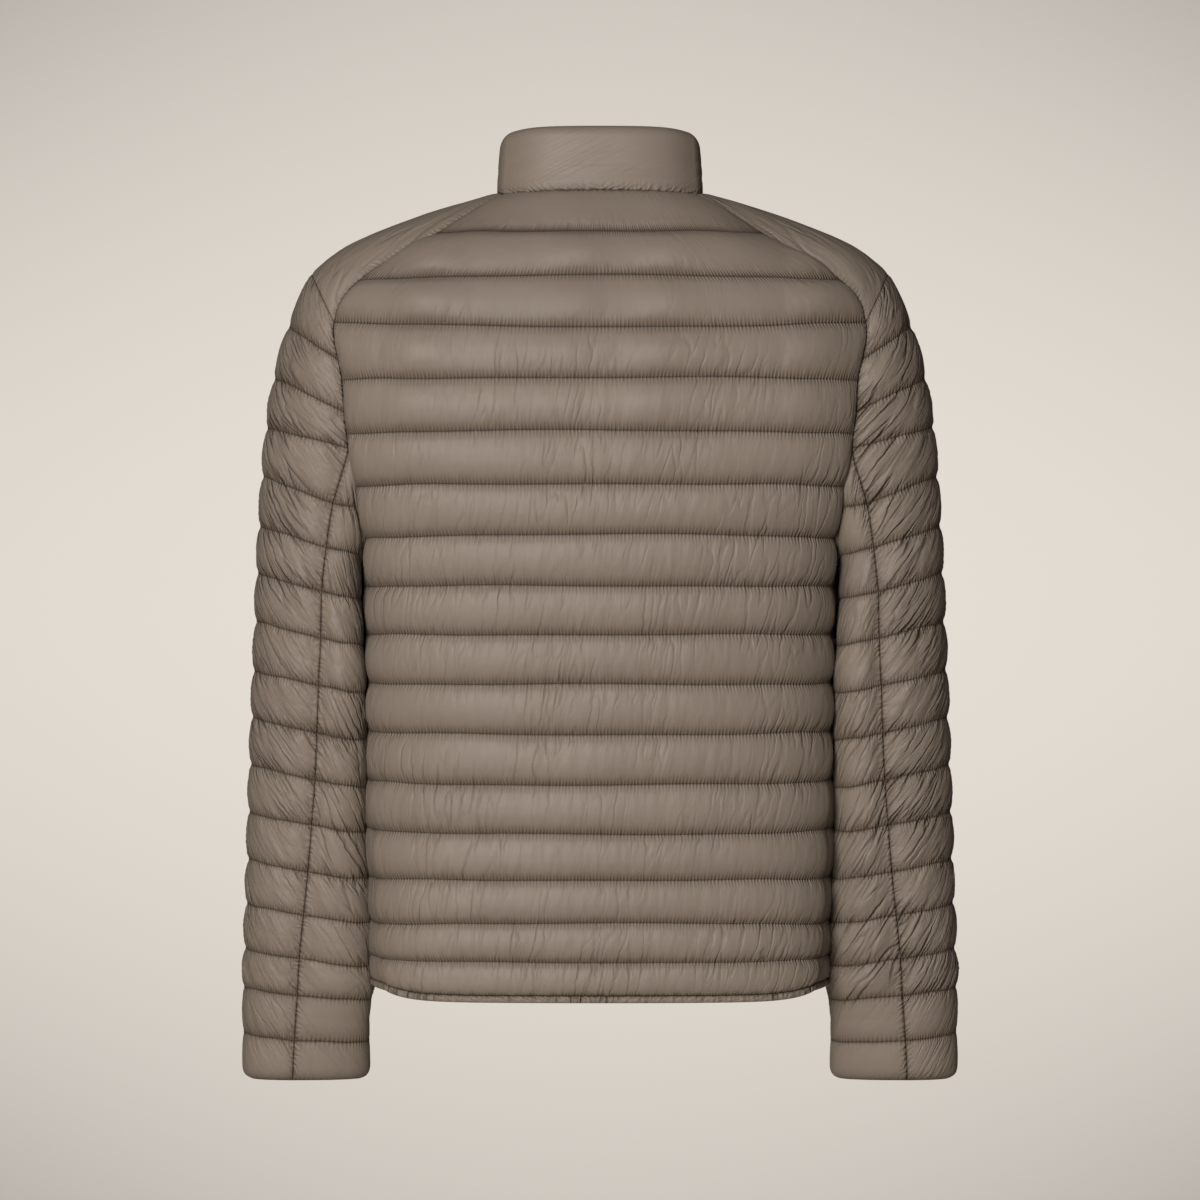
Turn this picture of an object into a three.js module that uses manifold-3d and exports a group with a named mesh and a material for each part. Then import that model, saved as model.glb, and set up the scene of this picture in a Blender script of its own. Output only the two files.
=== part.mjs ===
// A light quilted down jacket with a stand collar, filled out as when worn.
// Millimetres, +Z up. The back faces +Y, the fronts face -Y and the wearer's left is +X.
// The origin is the middle of the neck opening, level with the collar seam at the back.
import * as THREE from 'three';
import { mergeVertices } from 'three/addons/utils/BufferGeometryUtils.js';
import Module from 'manifold-3d';

// Cloth sizes
const WALL = 2;              // shell, down and inner shell pressed together at a quilt line
const SEAM_GAP = 0.3;        // clear space between two pieces at a seam
const ARMHOLE_GAP = 2.1;     // the same where sleeve and body rows do not meet
const BODY_PUFF = 5.5;       // rise of a filled channel over its quilt lines
const SLEEVE_PUFF = 3;
const SADDLE_PUFF = 3;
const COLLAR_PUFF = 2.5;
const PUFF_TAPER = 16;       // a channel is pressed flat over this length next to a seam
const CUFF_FLATNESS = 0.6;   // share of the puff that the last two channels of the sleeve keep
const PRESSED_SIDE = { least: 0.3, most: 0.45 };    // the same for the side panel, under the arm and below
const PRESSED_SLEEVE = { least: 0.3, most: 0.45 };  // and for the under sleeve
const CHANNEL_STEPS = [0, 0.2, 0.5, 0.8, 1];
const CHANNELS = 17;         // from the collar seam to the hem, and from shoulder to cuff
const ARMHOLE_TOP = 3;       // body row where the shoulder saddle ends
const ARMHOLE_LOW = 7;       // body row at the lowest point of the armhole
const SLEEVE_SPLIT = 3;      // sleeve row where the under sleeve begins
const COLLAR_TOP = { front: -2, rise: 103, bow: 48 };   // height of its upper edge, front to back
const COLLAR_LEAN = 0.955;   // the upper edge is this much narrower than the seam
const COLLAR_ROLL = 9;       // radius of the folded upper edge
const COLLAR_TUCK = 7.2;     // how far the fold turns in
const CUFF_ROLL = 10;        // length of sleeve end that turns under
const CUFF_TUCK = 8;         // how far it turns in
const SIDE_ROUNDNESS = 0.7;  // how squarely the side panel meets the side seams
const SIDE_DIP = 11;         // how far its top row sinks under the arm
const BINDING_HEIGHT = 6;
const BINDING_RISE = 1;

// Zip sizes
const ZIP_HALF = 6;          // half the tape width that shows between the fronts
const COIL_HALF = 2.6;
const COIL_RISE = 1.4;
const TAPE_THICKNESS = 1.6;
const SLIDER = { width: 9, height: 12, depth: 4, top: -9 };
const BAIL = { width: 4, radius: 3.1, bore: 1.8, stand: 2.3 };
const TAB = { width: 7.6, length: 30, thickness: 1.8, bar: 1.6, eyeWidth: 5, eyeLength: 4.6 };

// Body rows: one for each quilt line from the collar seam (first) to the hem (last).
// backZ, backY: at the middle of the back. edgeX, edgeY, edgeZ: where the back ends, at the
// saddle seam, the armhole and then the side seam. turn: how far the cloth has turned forward
// there, in degrees. bend: how late the row falls from the middle to the edge.
const BODY = [
  { backZ: -1, backY: 66, edgeX: 81, edgeY: 40, edgeZ: -3, turn: 48, bend: 2 },
  { backZ: -37, backY: 87, edgeX: 137, edgeY: 59, edgeZ: -37, turn: 36, bend: 2 },
  { backZ: -75, backY: 100, edgeX: 202, edgeY: 67, edgeZ: -77, turn: 32, bend: 2.5 },
  { backZ: -118, backY: 110, edgeX: 223, edgeY: 66, edgeZ: -112, turn: 42, bend: 3 },
  { backZ: -160.5, backY: 115, edgeX: 216, edgeY: 75, edgeZ: -161, turn: 50, bend: 3 },
  { backZ: -204.5, backY: 117, edgeX: 212, edgeY: 76, edgeZ: -206, turn: 56, bend: 3 },
  { backZ: -248.5, backY: 117, edgeX: 205, edgeY: 66, edgeZ: -250, turn: 66, bend: 3 },
  { backZ: -290.5, backY: 115, edgeX: 197.5, edgeY: 44, edgeZ: -293, turn: 86, bend: 3 },
  { backZ: -333, backY: 112, edgeX: 195.5, edgeY: 34, edgeZ: -333.5, turn: 84, bend: 3 },
  { backZ: -373.5, backY: 109.5, edgeX: 195, edgeY: 30, edgeZ: -374, turn: 83, bend: 3 },
  { backZ: -415, backY: 107.5, edgeX: 195, edgeY: 28, edgeZ: -415, turn: 83, bend: 3 },
  { backZ: -456.5, backY: 106, edgeX: 194.5, edgeY: 30, edgeZ: -456, turn: 82, bend: 3 },
  { backZ: -498.5, backY: 105.5, edgeX: 193, edgeY: 38, edgeZ: -497, turn: 79, bend: 3 },
  { backZ: -539.5, backY: 105.5, edgeX: 190.5, edgeY: 46, edgeZ: -538, turn: 75, bend: 3 },
  { backZ: -577.5, backY: 106, edgeX: 188.5, edgeY: 48, edgeZ: -579, turn: 77, bend: 3 },
  { backZ: -613.5, backY: 106.5, edgeX: 186.5, edgeY: 50, edgeZ: -617, turn: 77, bend: 4 },
  { backZ: -646, backY: 106, edgeX: 184, edgeY: 55, edgeZ: -646, turn: 75, bend: 4 },
  { backZ: -674, backY: 104, edgeX: 180, edgeY: 61, edgeZ: -667, turn: 72, bend: 10 },
];
// Front rows at the same quilt lines. frontZ, frontY: at the zip. edgeX, edgeY, edgeZ, turn: as
// above, for the front. From the armhole down the front edge mirrors the side seam of the back.
const FRONT = [
  { frontZ: -62, frontY: -74, edgeX: 79, edgeY: -24, edgeZ: -18, turn: 44 },
  { frontZ: -97, frontY: -87, edgeX: 131, edgeY: -43, edgeZ: -50, turn: 30 },
  { frontZ: -132, frontY: -98, edgeX: 196, edgeY: -56, edgeZ: -84, turn: 27 },
  { frontZ: -168, frontY: -106, edgeX: 222, edgeY: -56, edgeZ: -113, turn: 38 },
  { frontZ: -201, frontY: -112, edgeX: 214, edgeY: -65, edgeZ: -161, turn: 50 },
  { frontZ: -233, frontY: -116, edgeX: 211, edgeY: -67, edgeZ: -206, turn: 58 },
  { frontZ: -265, frontY: -118, edgeX: 204.5, edgeY: -60, edgeZ: -250, turn: 67 },
  { frontZ: -298, frontY: -118.5, edgeX: 197.5, edgeY: -44, edgeZ: -293, turn: 86 },
];
const FRONT_SWELL = 11;      // below the armhole the front stands out this much more than the back
const SIDE_SWELL = 9;        // and its side seam this much further to the side
const SLEEVE_SKEW = 0.45;    // how far towards the back the sleeve's innermost line lies, up to 0.5
const UNDER_SAG = 6;         // how far the quilt lines of the under sleeve sink between their seams
const UNDERARM_STEP = 6;     // least distance between these lines where they meet the armhole
// Shoulder ridge of the saddle, a row for each body row above the armhole
const RIDGE = [
  { x: 87, y: 9, z: -3 },
  { x: 146, y: 6, z: -21 },
  { x: 209, y: 5, z: -45 },
  { x: 244.5, y: 4, z: -68 },
];
// Sleeve rows: one for each quilt line from the saddle seam (first) to the cuff (last).
// outerX, outerZ: outermost line. backX, backY, backZ: back sleeve seam. frontY: front seam.
// innerX, innerZ: inner side towards the body. Rows above SLEEVE_SPLIT end on the armhole at backZ.
const SLEEVE = [
  { outerX: 244.5, outerZ: -68, backZ: -112 },
  { outerX: 264, outerZ: -113.5, backZ: -144 },
  { outerX: 276, outerZ: -157, backZ: -188 },
  { outerX: 282.5, outerZ: -199, backZ: -218 },
  { outerX: 286.5, outerZ: -240, backX: 224, backY: 64, backZ: -264, frontY: -70, innerX: 204.5, innerZ: -323 },
  { outerX: 289.5, outerZ: -282, backX: 230, backY: 59, backZ: -301, frontY: -72, innerX: 206.3, innerZ: -353 },
  { outerX: 291.5, outerZ: -322, backX: 234, backY: 56, backZ: -338, frontY: -74, innerX: 206.5, innerZ: -383 },
  { outerX: 293, outerZ: -363, backX: 235, backY: 53, backZ: -377, frontY: -75, innerX: 205.5, innerZ: -413 },
  { outerX: 295, outerZ: -405, backX: 237, backY: 50, backZ: -417, frontY: -76, innerX: 205.5, innerZ: -444 },
  { outerX: 296.5, outerZ: -445, backX: 238.5, backY: 46, backZ: -457, frontY: -76.5, innerX: 205, innerZ: -476 },
  { outerX: 298, outerZ: -485, backX: 240.5, backY: 42, backZ: -497, frontY: -77, innerX: 205, innerZ: -510 },
  { outerX: 299.5, outerZ: -526, backX: 243.5, backY: 38, backZ: -535, frontY: -76.5, innerX: 205, innerZ: -544 },
  { outerX: 300.5, outerZ: -566, backX: 247, backY: 33, backZ: -575, frontY: -75.5, innerX: 202.6, innerZ: -585 },
  { outerX: 302, outerZ: -604, backX: 251, backY: 28, backZ: -612, frontY: -74, innerX: 201, innerZ: -617 },
  { outerX: 303.5, outerZ: -643, backX: 255, backY: 22, backZ: -649, frontY: -72, innerX: 200, innerZ: -651 },
  { outerX: 305, outerZ: -676, backX: 257, backY: 16, backZ: -681, frontY: -69, innerX: 199, innerZ: -682 },
  { outerX: 305.5, outerZ: -715, backX: 260, backY: 10, backZ: -720, frontY: -66, innerX: 198, innerZ: -719 },
  { outerX: 305.5, outerZ: -755, backX: 262, backY: 3, backZ: -755, frontY: -61, innerX: 198, innerZ: -755 },
];

// Colours and finishes
const SHELL = { color: 0x857869, roughness: 0.5, metalness: 0 };
const TAPE = { color: 0x6f6458, roughness: 0.8, metalness: 0 };
const METAL = { color: 0x5d554c, roughness: 0.35, metalness: 0.9 };

const jacket = new THREE.Group();

// Small helpers
const mix = (a, b, t) => a + (b - a) * t;
const degrees = (angle) => angle * Math.PI / 180;
const point = (x, y, z) => new THREE.Vector3(x, y, z);

// A column of a table read between its rows, on a smooth curve through them
function column(table, name, row) {
  const last = table.length - 1;
  const low = Math.min(Math.max(Math.floor(row), 0), last - 1);
  const at = (index) => table[Math.min(Math.max(index, 0), last)][name];
  const first = at(low - 1) ?? at(low);
  const [p, q, next] = [at(low), at(low + 1), at(low + 2)];
  const t = row - low;
  const slopeIn = (q - first) / 2;
  const slopeOut = (next - p) / 2;
  const rise = 2 * (p - q) + slopeIn + slopeOut;
  const curve = 3 * (q - p) - 2 * slopeIn - slopeOut;
  return ((rise * t + curve) * t + slopeIn) * t + p;
}

function read(table, row) {
  const values = {};
  for (const name of Object.keys(table[table.length - 1])) values[name] = column(table, name, row);
  return values;
}

// A level arc from the middle of the body to its edge, square to the middle and turned at the edge
function halfRow(middle, edge, turn, t) {
  const full = 0.66;
  const depth = Math.abs(middle.y - edge.y);
  const sign = Math.sign(middle.y - edge.y);
  const reach = full * depth / Math.sin(degrees(turn));
  const a = middle;
  const b = point(mix(middle.x, edge.x, full), middle.y, 0);
  const c = point(edge.x - reach * Math.cos(degrees(turn)), edge.y + sign * reach * Math.sin(degrees(turn)), 0);
  return new THREE.CubicBezierCurve3(a, b, c, edge).getPoint(t);
}

// An arc from one seam over an outermost point to another seam, from a parabola to an oval
function arc(start, top, end, t, roundness, skew = 0) {
  const middle = start.clone().add(end).multiplyScalar(0.5);
  const half = start.clone().sub(end).multiplyScalar(0.5);
  const lift = top.clone().sub(middle);
  const power = 0.86;
  const swing = Math.PI * t;
  const cosine = Math.sign(Math.cos(swing)) * Math.abs(Math.cos(swing)) ** power;
  const sine = Math.max(Math.sin(swing), 0) ** power;
  const across = mix(1 - 2 * t, cosine, roundness);
  const out = mix(1 - (1 - 2 * t) ** 2, sine, roundness);
  const skewed = across + skew * (1 - across * across);
  return middle.addScaledVector(half, skewed).addScaledVector(lift, out);
}

// Body surface, left half. The right half is its mirror image.
function backEdge(row) {
  const body = read(BODY, row);
  return point(body.edgeX, body.edgeY, body.edgeZ);
}

function frontEdge(row) {
  if (row >= ARMHOLE_LOW) {
    const edge = backEdge(row);
    edge.y *= -1;
    edge.x += SIDE_SWELL * Math.min(row - ARMHOLE_LOW, 1);
    return edge;
  }
  const front = read(FRONT, row);
  return point(front.edgeX, front.edgeY, front.edgeZ);
}

function backHalf(row, t) {
  const body = read(BODY, row);
  const edge = point(body.edgeX, body.edgeY, 0);
  const place = halfRow(point(0, body.backY, 0), edge, body.turn, t);
  place.z = mix(body.backZ, body.edgeZ, (place.x / body.edgeX) ** body.bend);
  return place;
}

// The whole back from the wearer's left edge to the right edge
function backSurface(row, t) {
  const place = backHalf(row, Math.abs(1 - 2 * t));
  if (t > 0.5) place.x *= -1;
  return place;
}

function frontSurface(row, t) {
  const body = read(BODY, row);
  const level = mix(body.backZ, body.edgeZ, 0.85);
  let front = { frontY: -(body.backY + FRONT_SWELL), frontZ: level, turn: body.turn };
  const edge = frontEdge(row);
  if (row < ARMHOLE_LOW) front = read(FRONT, row);
  else {
    const settle = Math.min((row - ARMHOLE_LOW) / 3, 1);
    const last = FRONT[ARMHOLE_LOW];
    front.frontY = mix(last.frontY, front.frontY, settle);
    front.frontZ = mix(last.frontZ + body.edgeZ - BODY[ARMHOLE_LOW].edgeZ, front.frontZ, settle);
    if (row > CHANNELS - 1) front.frontZ = mix(front.frontZ, body.edgeZ - 2, row - CHANNELS + 1);
  }
  const middle = point(ZIP_HALF, front.frontY, 0);
  const flat = point(edge.x, edge.y, 0);
  const place = halfRow(middle, flat, front.turn, t);
  const fall = (place.x - ZIP_HALF) / (edge.x - ZIP_HALF);
  place.z = mix(front.frontZ, edge.z, fall ** 1.6);
  return place;
}

// The side panel is one smooth arc between the two side seams
function sideSurface(row, t) {
  const edge = backEdge(row);
  const turn = degrees(column(BODY, 'turn', row));
  const reach = SIDE_ROUNDNESS * edge.y;
  const dip = SIDE_DIP * Math.max(1 - (row - ARMHOLE_LOW), 0) ** 2;
  const out = reach * Math.cos(turn);
  const front = frontEdge(row);
  const a = point(edge.x, edge.y, edge.z);
  const b = point(edge.x + out, edge.y - reach * Math.sin(turn), edge.z);
  const c = point(front.x + out, -b.y, edge.z);
  const d = point(front.x, -edge.y, edge.z);
  const place = new THREE.CubicBezierCurve3(a, b, c, d).getPoint(t);
  place.z -= dip * Math.sin(Math.PI * t);
  return place;
}

function saddleSurface(row, t) {
  const ridge = read(RIDGE, row);
  const top = point(ridge.x, ridge.y, ridge.z);
  const end = row / ARMHOLE_TOP;
  return arc(backEdge(row), top, frontEdge(row), t, mix(0.35, 0.85, end));
}

// Armhole: a line down the back, under the arm and up the front, as points of the body's edges
function armholePoints() {
  const line = [];
  const rows = subRows(ARMHOLE_TOP, ARMHOLE_LOW);
  for (const row of rows) line.push(backEdge(row));
  for (let step = 1; step < SIDE_COLUMNS.length; step += 1) {
    line.push(sideSurface(ARMHOLE_LOW, SIDE_COLUMNS[step]));
  }
  for (const row of rows.slice(0, -1).reverse()) line.push(frontEdge(row));
  return line;
}

// The point of a line at a height, on its back half or its front half
function lineAtHeight(line, height, onFront) {
  const ordered = onFront ? [...line].reverse() : line;
  for (let index = 1; index < ordered.length; index += 1) {
    const [above, below] = [ordered[index - 1], ordered[index]];
    if (below.z <= height) return above.clone().lerp(below, (height - above.z) / (below.z - above.z));
  }
  return ordered[ordered.length - 1].clone();
}

// The stretch of the armhole that the under sleeve is sewn to, read by its length
function underarmLine(line, topHeight) {
  const start = lineAtHeight(line, topHeight, false);
  const end = lineAtHeight(line, topHeight, true);
  const between = line.filter((place) => place.z < topHeight - 0.01);
  const stretch = [start, ...between, end];
  const lengths = [0];
  for (let index = 1; index < stretch.length; index += 1) {
    lengths.push(lengths[index - 1] + stretch[index].distanceTo(stretch[index - 1]));
  }
  return (t) => {
    const goal = t * lengths[lengths.length - 1];
    let index = 1;
    while (index < stretch.length - 1 && lengths[index] < goal) index += 1;
    const share = (goal - lengths[index - 1]) / (lengths[index] - lengths[index - 1]);
    return stretch[index - 1].clone().lerp(stretch[index], Math.min(share, 1));
  };
}

// Sleeve surface, left side
function sleeveSeams(row) {
  if (row <= SLEEVE_SPLIT) {
    const height = column(SLEEVE, 'backZ', row);
    return [lineAtHeight(ARMHOLE, height, false), lineAtHeight(ARMHOLE, height - 1, true)];
  }
  const split = SLEEVE_SPLIT;
  const back = lineAtHeight(ARMHOLE, SLEEVE[split].backZ, false);
  const front = lineAtHeight(ARMHOLE, SLEEVE[split].backZ - 1, true);
  const seamRows = SLEEVE.map((entry) => ({ ...entry }));
  Object.assign(seamRows[split], { backX: back.x, backY: back.y, frontX: front.x, frontY: front.y });
  for (const entry of seamRows.slice(split + 1)) entry.frontX = entry.backX;
  const lower = seamRows.slice(split);
  const at = (name) => column(lower, name, row - split);
  return [point(at('backX'), at('backY'), at('backZ')), point(at('frontX'), at('frontY'), at('backZ') - 1)];
}

// The end of the sleeve turns in towards the middle of the cuff
function tuckCuff(place, row, centre) {
  const end = SLEEVE[CHANNELS].outerZ;
  const start = end + CUFF_ROLL;
  if (row < CHANNELS - 1 || place.z > start) return place;
  const share = Math.min((start - place.z) / CUFF_ROLL, 1);
  const tuck = CUFF_TUCK * (1 - Math.sqrt(1 - share * share * 0.98));
  const inward = point(centre.x - place.x, centre.y - place.y, 0);
  return place.addScaledVector(inward.normalize(), tuck);
}

function outerSleeve(row, t) {
  const [back, front] = sleeveSeams(row);
  const top = point(column(SLEEVE, 'outerX', row), mix(back.y, front.y, 0.5), column(SLEEVE, 'outerZ', row));
  if (row === 0) return saddleSurface(ARMHOLE_TOP, t);
  const roundness = mix(0.85, 1, Math.min(row / SLEEVE_SPLIT, 1));
  return tuckCuff(arc(back, top, front, t, roundness), row, sleeveCentre(row));
}

function sleeveCentre(row) {
  const [back, front] = sleeveSeams(row);
  return back.add(front).multiplyScalar(0.5);
}

function innerSleeve(row, t) {
  if (row === SLEEVE_SPLIT) return UNDERARM(t);
  const [back, front] = sleeveSeams(row);
  const lower = SLEEVE.slice(SLEEVE_SPLIT);
  const bottom = UNDERARM(0.5);
  lower[0] = { innerX: bottom.x + 1.5, innerZ: bottom.z - 1 };
  lower[0] = { ...SLEEVE[SLEEVE_SPLIT], ...lower[0] };
  const at = (name) => column(lower, name, row - SLEEVE_SPLIT);
  const inner = point(at('innerX'), mix(back.y, front.y, 0.5), at('innerZ'));
  const skew = SLEEVE_SKEW * Math.min((row - SLEEVE_SPLIT) / 3, 1) * Math.min((CHANNELS - row) / 3, 1);
  return arc(back, inner, front, t, 1, skew);
}

// The inner side of the sleeve with level quilt lines, which the armhole cuts off at the top
function underSleeve(row, t) {
  if (row === SLEEVE_SPLIT) return UNDERARM(t);
  const sag = UNDER_SAG * Math.min((CHANNELS - row) / 3, 1) * Math.sin(Math.PI * t);
  const level = column(SLEEVE, 'backZ', row) - t - sag;
  const limit = UNDERARM(t).z - UNDERARM_STEP * (row - SLEEVE_SPLIT);
  const goal = Math.min(level, limit);
  let [above, below] = [SLEEVE_SPLIT, CHANNELS];
  for (let step = 0; step < 30; step += 1) {
    const middle = (above + below) / 2;
    if (innerSleeve(middle, t).z > goal) above = middle;
    else below = middle;
  }
  return tuckCuff(innerSleeve(below, t), row, sleeveCentre(row));
}

// Rows of points from one quilt line to another, with the steps inside each channel
function subRows(from, to) {
  const rows = [];
  for (let channel = from; channel < to; channel += 1) {
    for (const step of CHANNEL_STEPS.slice(0, -1)) rows.push(channel + step);
  }
  rows.push(to);
  return rows;
}

// Columns across a piece, closer together near its two seams
function columns(count) {
  const places = [];
  for (let index = 0; index <= count; index += 1) {
    const even = index / count;
    places.push(mix(even, 0.5 - 0.5 * Math.cos(Math.PI * even), 0.55));
  }
  return places;
}

const BACK_COLUMNS = columns(16);
const FRONT_COLUMNS = columns(8);
const SIDE_COLUMNS = columns(5);
const SADDLE_COLUMNS = columns(8);
const UNDER_COLUMNS = columns(10);
const ARMHOLE = armholePoints();
const UNDERARM = underarmLine(ARMHOLE, SLEEVE[SLEEVE_SPLIT].backZ);

// A grid of base points of one piece. rows and across are the places that are sampled.
function grid(surface, rows, across, mirrored) {
  return rows.map((row) => across.map((t) => {
    const place = surface(row, t);
    if (mirrored) place.x *= -1;
    return place;
  }));
}

// Normals of all the pieces of the shell. Pieces that share a seam point share its normal there.
function shellNormals(pieces) {
  const shared = new Map();
  const key = (place) => [place.x, place.y, place.z].map((value) => Math.round(value * 50)).join(' ');
  for (const piece of pieces) {
    const { points } = piece;
    piece.normals = points.map((line, r) => line.map((place, c) => {
      const up = points[Math.max(r - 1, 0)][c];
      const down = points[Math.min(r + 1, points.length - 1)][c];
      const left = line[Math.max(c - 1, 0)];
      const right = line[Math.min(c + 1, line.length - 1)];
      const normal = right.clone().sub(left).cross(down.clone().sub(up)).normalize();
      return normal.multiplyScalar(piece.facing);
    }));
    points.forEach((line, r) => line.forEach((place, c) => {
      const name = key(place);
      if (!shared.has(name)) shared.set(name, point(0, 0, 0));
      shared.get(name).add(piece.normals[r][c]);
    }));
  }
  for (const piece of pieces) {
    piece.normals = piece.points.map((line) => line.map((place) => shared.get(key(place)).clone().normalize()));
  }
}

// At the armhole the sleeve takes the body's normals, so that both walls end on one face
function matchArmhole(sleeves, bodies) {
  const samples = [];
  for (const body of bodies) {
    body.points.forEach((line, r) => {
      for (const c of [0, line.length - 1]) samples.push({ place: line[c], normal: body.normals[r][c] });
    });
  }
  for (const sleeve of sleeves) {
    sleeve.points.forEach((line, r) => {
      if (sleeve.rows[r] > SLEEVE_SPLIT || sleeve.rows[r] === 0) return;
      for (const c of [0, line.length - 1]) {
        samples.sort((a, b) => a.place.distanceTo(line[c]) - b.place.distanceTo(line[c]));
        const [near, next] = samples;
        const share = near.place.distanceTo(line[c]) / near.place.distanceTo(next.place);
        sleeve.normals[r][c] = near.normal.clone().lerp(next.normal, Math.min(share, 0.5)).normalize();
      }
    });
  }
}

// Points next to a seam move back from it by half of its gap
function insetGrid(piece) {
  const { points, gaps } = piece;
  const lastRow = points.length - 1;
  const lastColumn = points[0].length - 1;
  const moved = points.map((line) => line.map((place) => place.clone()));
  const shift = (r, c, towardsR, towardsC, gap) => {
    const away = points[towardsR][towardsC].clone().sub(points[r][c]).normalize();
    moved[r][c].addScaledVector(away, gap / 2);
  };
  for (let r = 0; r <= lastRow; r += 1) {
    const gap = piece.rows[r] <= gaps.armholeRows ? ARMHOLE_GAP : SEAM_GAP;
    shift(r, 0, r, 1, gap);
    shift(r, lastColumn, r, lastColumn - 1, gap);
  }
  for (let c = 0; c <= lastColumn; c += 1) {
    shift(0, c, 1, c, gaps.top);
    shift(lastRow, c, lastRow - 1, c, SEAM_GAP);
  }
  return moved;
}

// How much of its puff a point keeps, from its distance along the row to the nearer seam
function taper(line, c) {
  let before = 0;
  let after = 0;
  for (let index = 1; index <= c; index += 1) before += line[index].distanceTo(line[index - 1]);
  for (let index = c + 1; index < line.length; index += 1) after += line[index].distanceTo(line[index - 1]);
  const share = Math.min(Math.min(before, after) / PUFF_TAPER, 1);
  return Math.sqrt(1 - (1 - share) ** 2);
}

const channelShape = (row) => Math.sin(Math.PI * (row - Math.floor(row))) ** 0.7;

// A closed wall: outer points raised by the puff, plain inner points, and a strip round the edge.
// The inner side keeps fewer rows than the outer side.
function wallGeometry(piece) {
  const outerBase = insetGrid(piece);
  const innerRows = [...piece.rows.keys()].filter((r) => piece.keepInner(piece.rows[r]));
  const width = piece.points[0].length;
  const positions = [];
  const faces = [];
  const push = (place, normal, rise) => {
    const moved = place.clone().addScaledVector(normal, rise);
    positions.push(moved.x, moved.y, moved.z);
  };
  outerBase.forEach((line, r) => line.forEach((place, c) => {
    const share = piece.openEnds ? 1 : taper(piece.points[r], c);
    push(place, piece.normals[r][c], piece.puff(piece.rows[r], piece.across[c]) * share);
  }));
  const innerStart = positions.length / 3;
  for (const r of innerRows) {
    outerBase[r].forEach((place, c) => push(place, piece.normals[r][c], -piece.wall));
  }
  const outer = (r, c) => r * width + c;
  const inner = (index, c) => innerStart + index * width + c;
  const add = (a, b, c) => faces.push(piece.facing > 0 ? [a, b, c] : [a, c, b]);
  for (let r = 0; r < outerBase.length - 1; r += 1) {
    for (let c = 0; c < width - 1; c += 1) {
      add(outer(r, c), outer(r, c + 1), outer(r + 1, c + 1));
      add(outer(r, c), outer(r + 1, c + 1), outer(r + 1, c));
    }
  }
  const lastRow = outerBase.length - 1;
  const lastInner = innerRows.length - 1;
  for (let index = 0; index < lastInner; index += 1) {
    for (let c = 0; c < width - 1; c += 1) {
      add(inner(index, c), inner(index + 1, c + 1), inner(index, c + 1));
      add(inner(index, c), inner(index + 1, c), inner(index + 1, c + 1));
    }
  }
  for (let c = 0; c < width - 1; c += 1) {
    add(outer(0, c), inner(0, c), inner(0, c + 1));
    add(outer(0, c), inner(0, c + 1), outer(0, c + 1));
    add(outer(lastRow, c), inner(lastInner, c + 1), inner(lastInner, c));
    add(outer(lastRow, c), outer(lastRow, c + 1), inner(lastInner, c + 1));
  }
  for (let index = 0; index < lastInner; index += 1) {
    const [from, to] = [innerRows[index], innerRows[index + 1]];
    const half = Math.ceil((from + to) / 2);
    for (const [c, flip] of [[0, false], [width - 1, true]]) {
      const side = (a, b, d) => (flip ? add(a, d, b) : add(a, b, d));
      for (let r = from; r < to; r += 1) {
        side(outer(r, c), outer(r + 1, c), inner(r < half ? index : index + 1, c));
      }
      side(outer(half, c), inner(index + 1, c), inner(index, c));
    }
  }
  const geometry = new THREE.BufferGeometry();
  geometry.setAttribute('position', new THREE.Float32BufferAttribute(positions, 3));
  geometry.setIndex(faces.flat());
  geometry.computeVertexNormals();
  return geometry;
}

function addPiece(name, geometry, finish) {
  const mesh = new THREE.Mesh(geometry, new THREE.MeshStandardMaterial(finish));
  mesh.name = name;
  jacket.add(mesh);
  return mesh;
}

// A piece of cloth as a grid, made solid once its neighbours are known.
// facing is 1 where across x down points out of the garment, and -1 where it points in.
const isQuiltLine = (row) => Number.isInteger(row);

function clothPiece(name, surface, rows, across, puff, options = {}) {
  const settings = {
    facing: 1, mirrored: false, armholeRows: -1, top: SEAM_GAP, keepInner: isQuiltLine, wall: WALL,
    openEnds: false, finish: SHELL, ...options,
  };
  return {
    ...settings,
    name, rows, across, puff,
    facing: settings.mirrored ? -settings.facing : settings.facing,
    gaps: { armholeRows: settings.armholeRows, top: settings.top },
    points: grid(surface, rows, across, settings.mirrored),
  };
}

// Puff of each kind of piece
const bodyPuff = (row) => BODY_PUFF * channelShape(row);

// Beside the sleeve the side panel is pressed flatter, most of all under the arm
function sidePuff(row) {
  const freed = Math.min((row - ARMHOLE_LOW) / 3, 1);
  return bodyPuff(row) * mix(PRESSED_SIDE.least, PRESSED_SIDE.most, freed);
}

// The last two channels of the sleeve are flatter
function sleevePuff(row) {
  const flat = row > CHANNELS - 2 ? CUFF_FLATNESS : 1;
  return SLEEVE_PUFF * channelShape(row) * flat;
}

function underPuff(row, t) {
  const freed = Math.min((row - SLEEVE_SPLIT) / 3, 1);
  const pressed = mix(PRESSED_SLEEVE.least, PRESSED_SLEEVE.most, freed);
  return sleevePuff(row) * mix(0.5, 1, freed) * mix(1, pressed, Math.sin(Math.PI * t));
}

function saddlePuff(row, t) {
  const along = Math.sin(Math.PI * row / ARMHOLE_TOP);
  return SADDLE_PUFF * Math.max(along, 0) ** 0.5 * Math.max(Math.sin(Math.PI * t), 0) ** 0.6;
}

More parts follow.
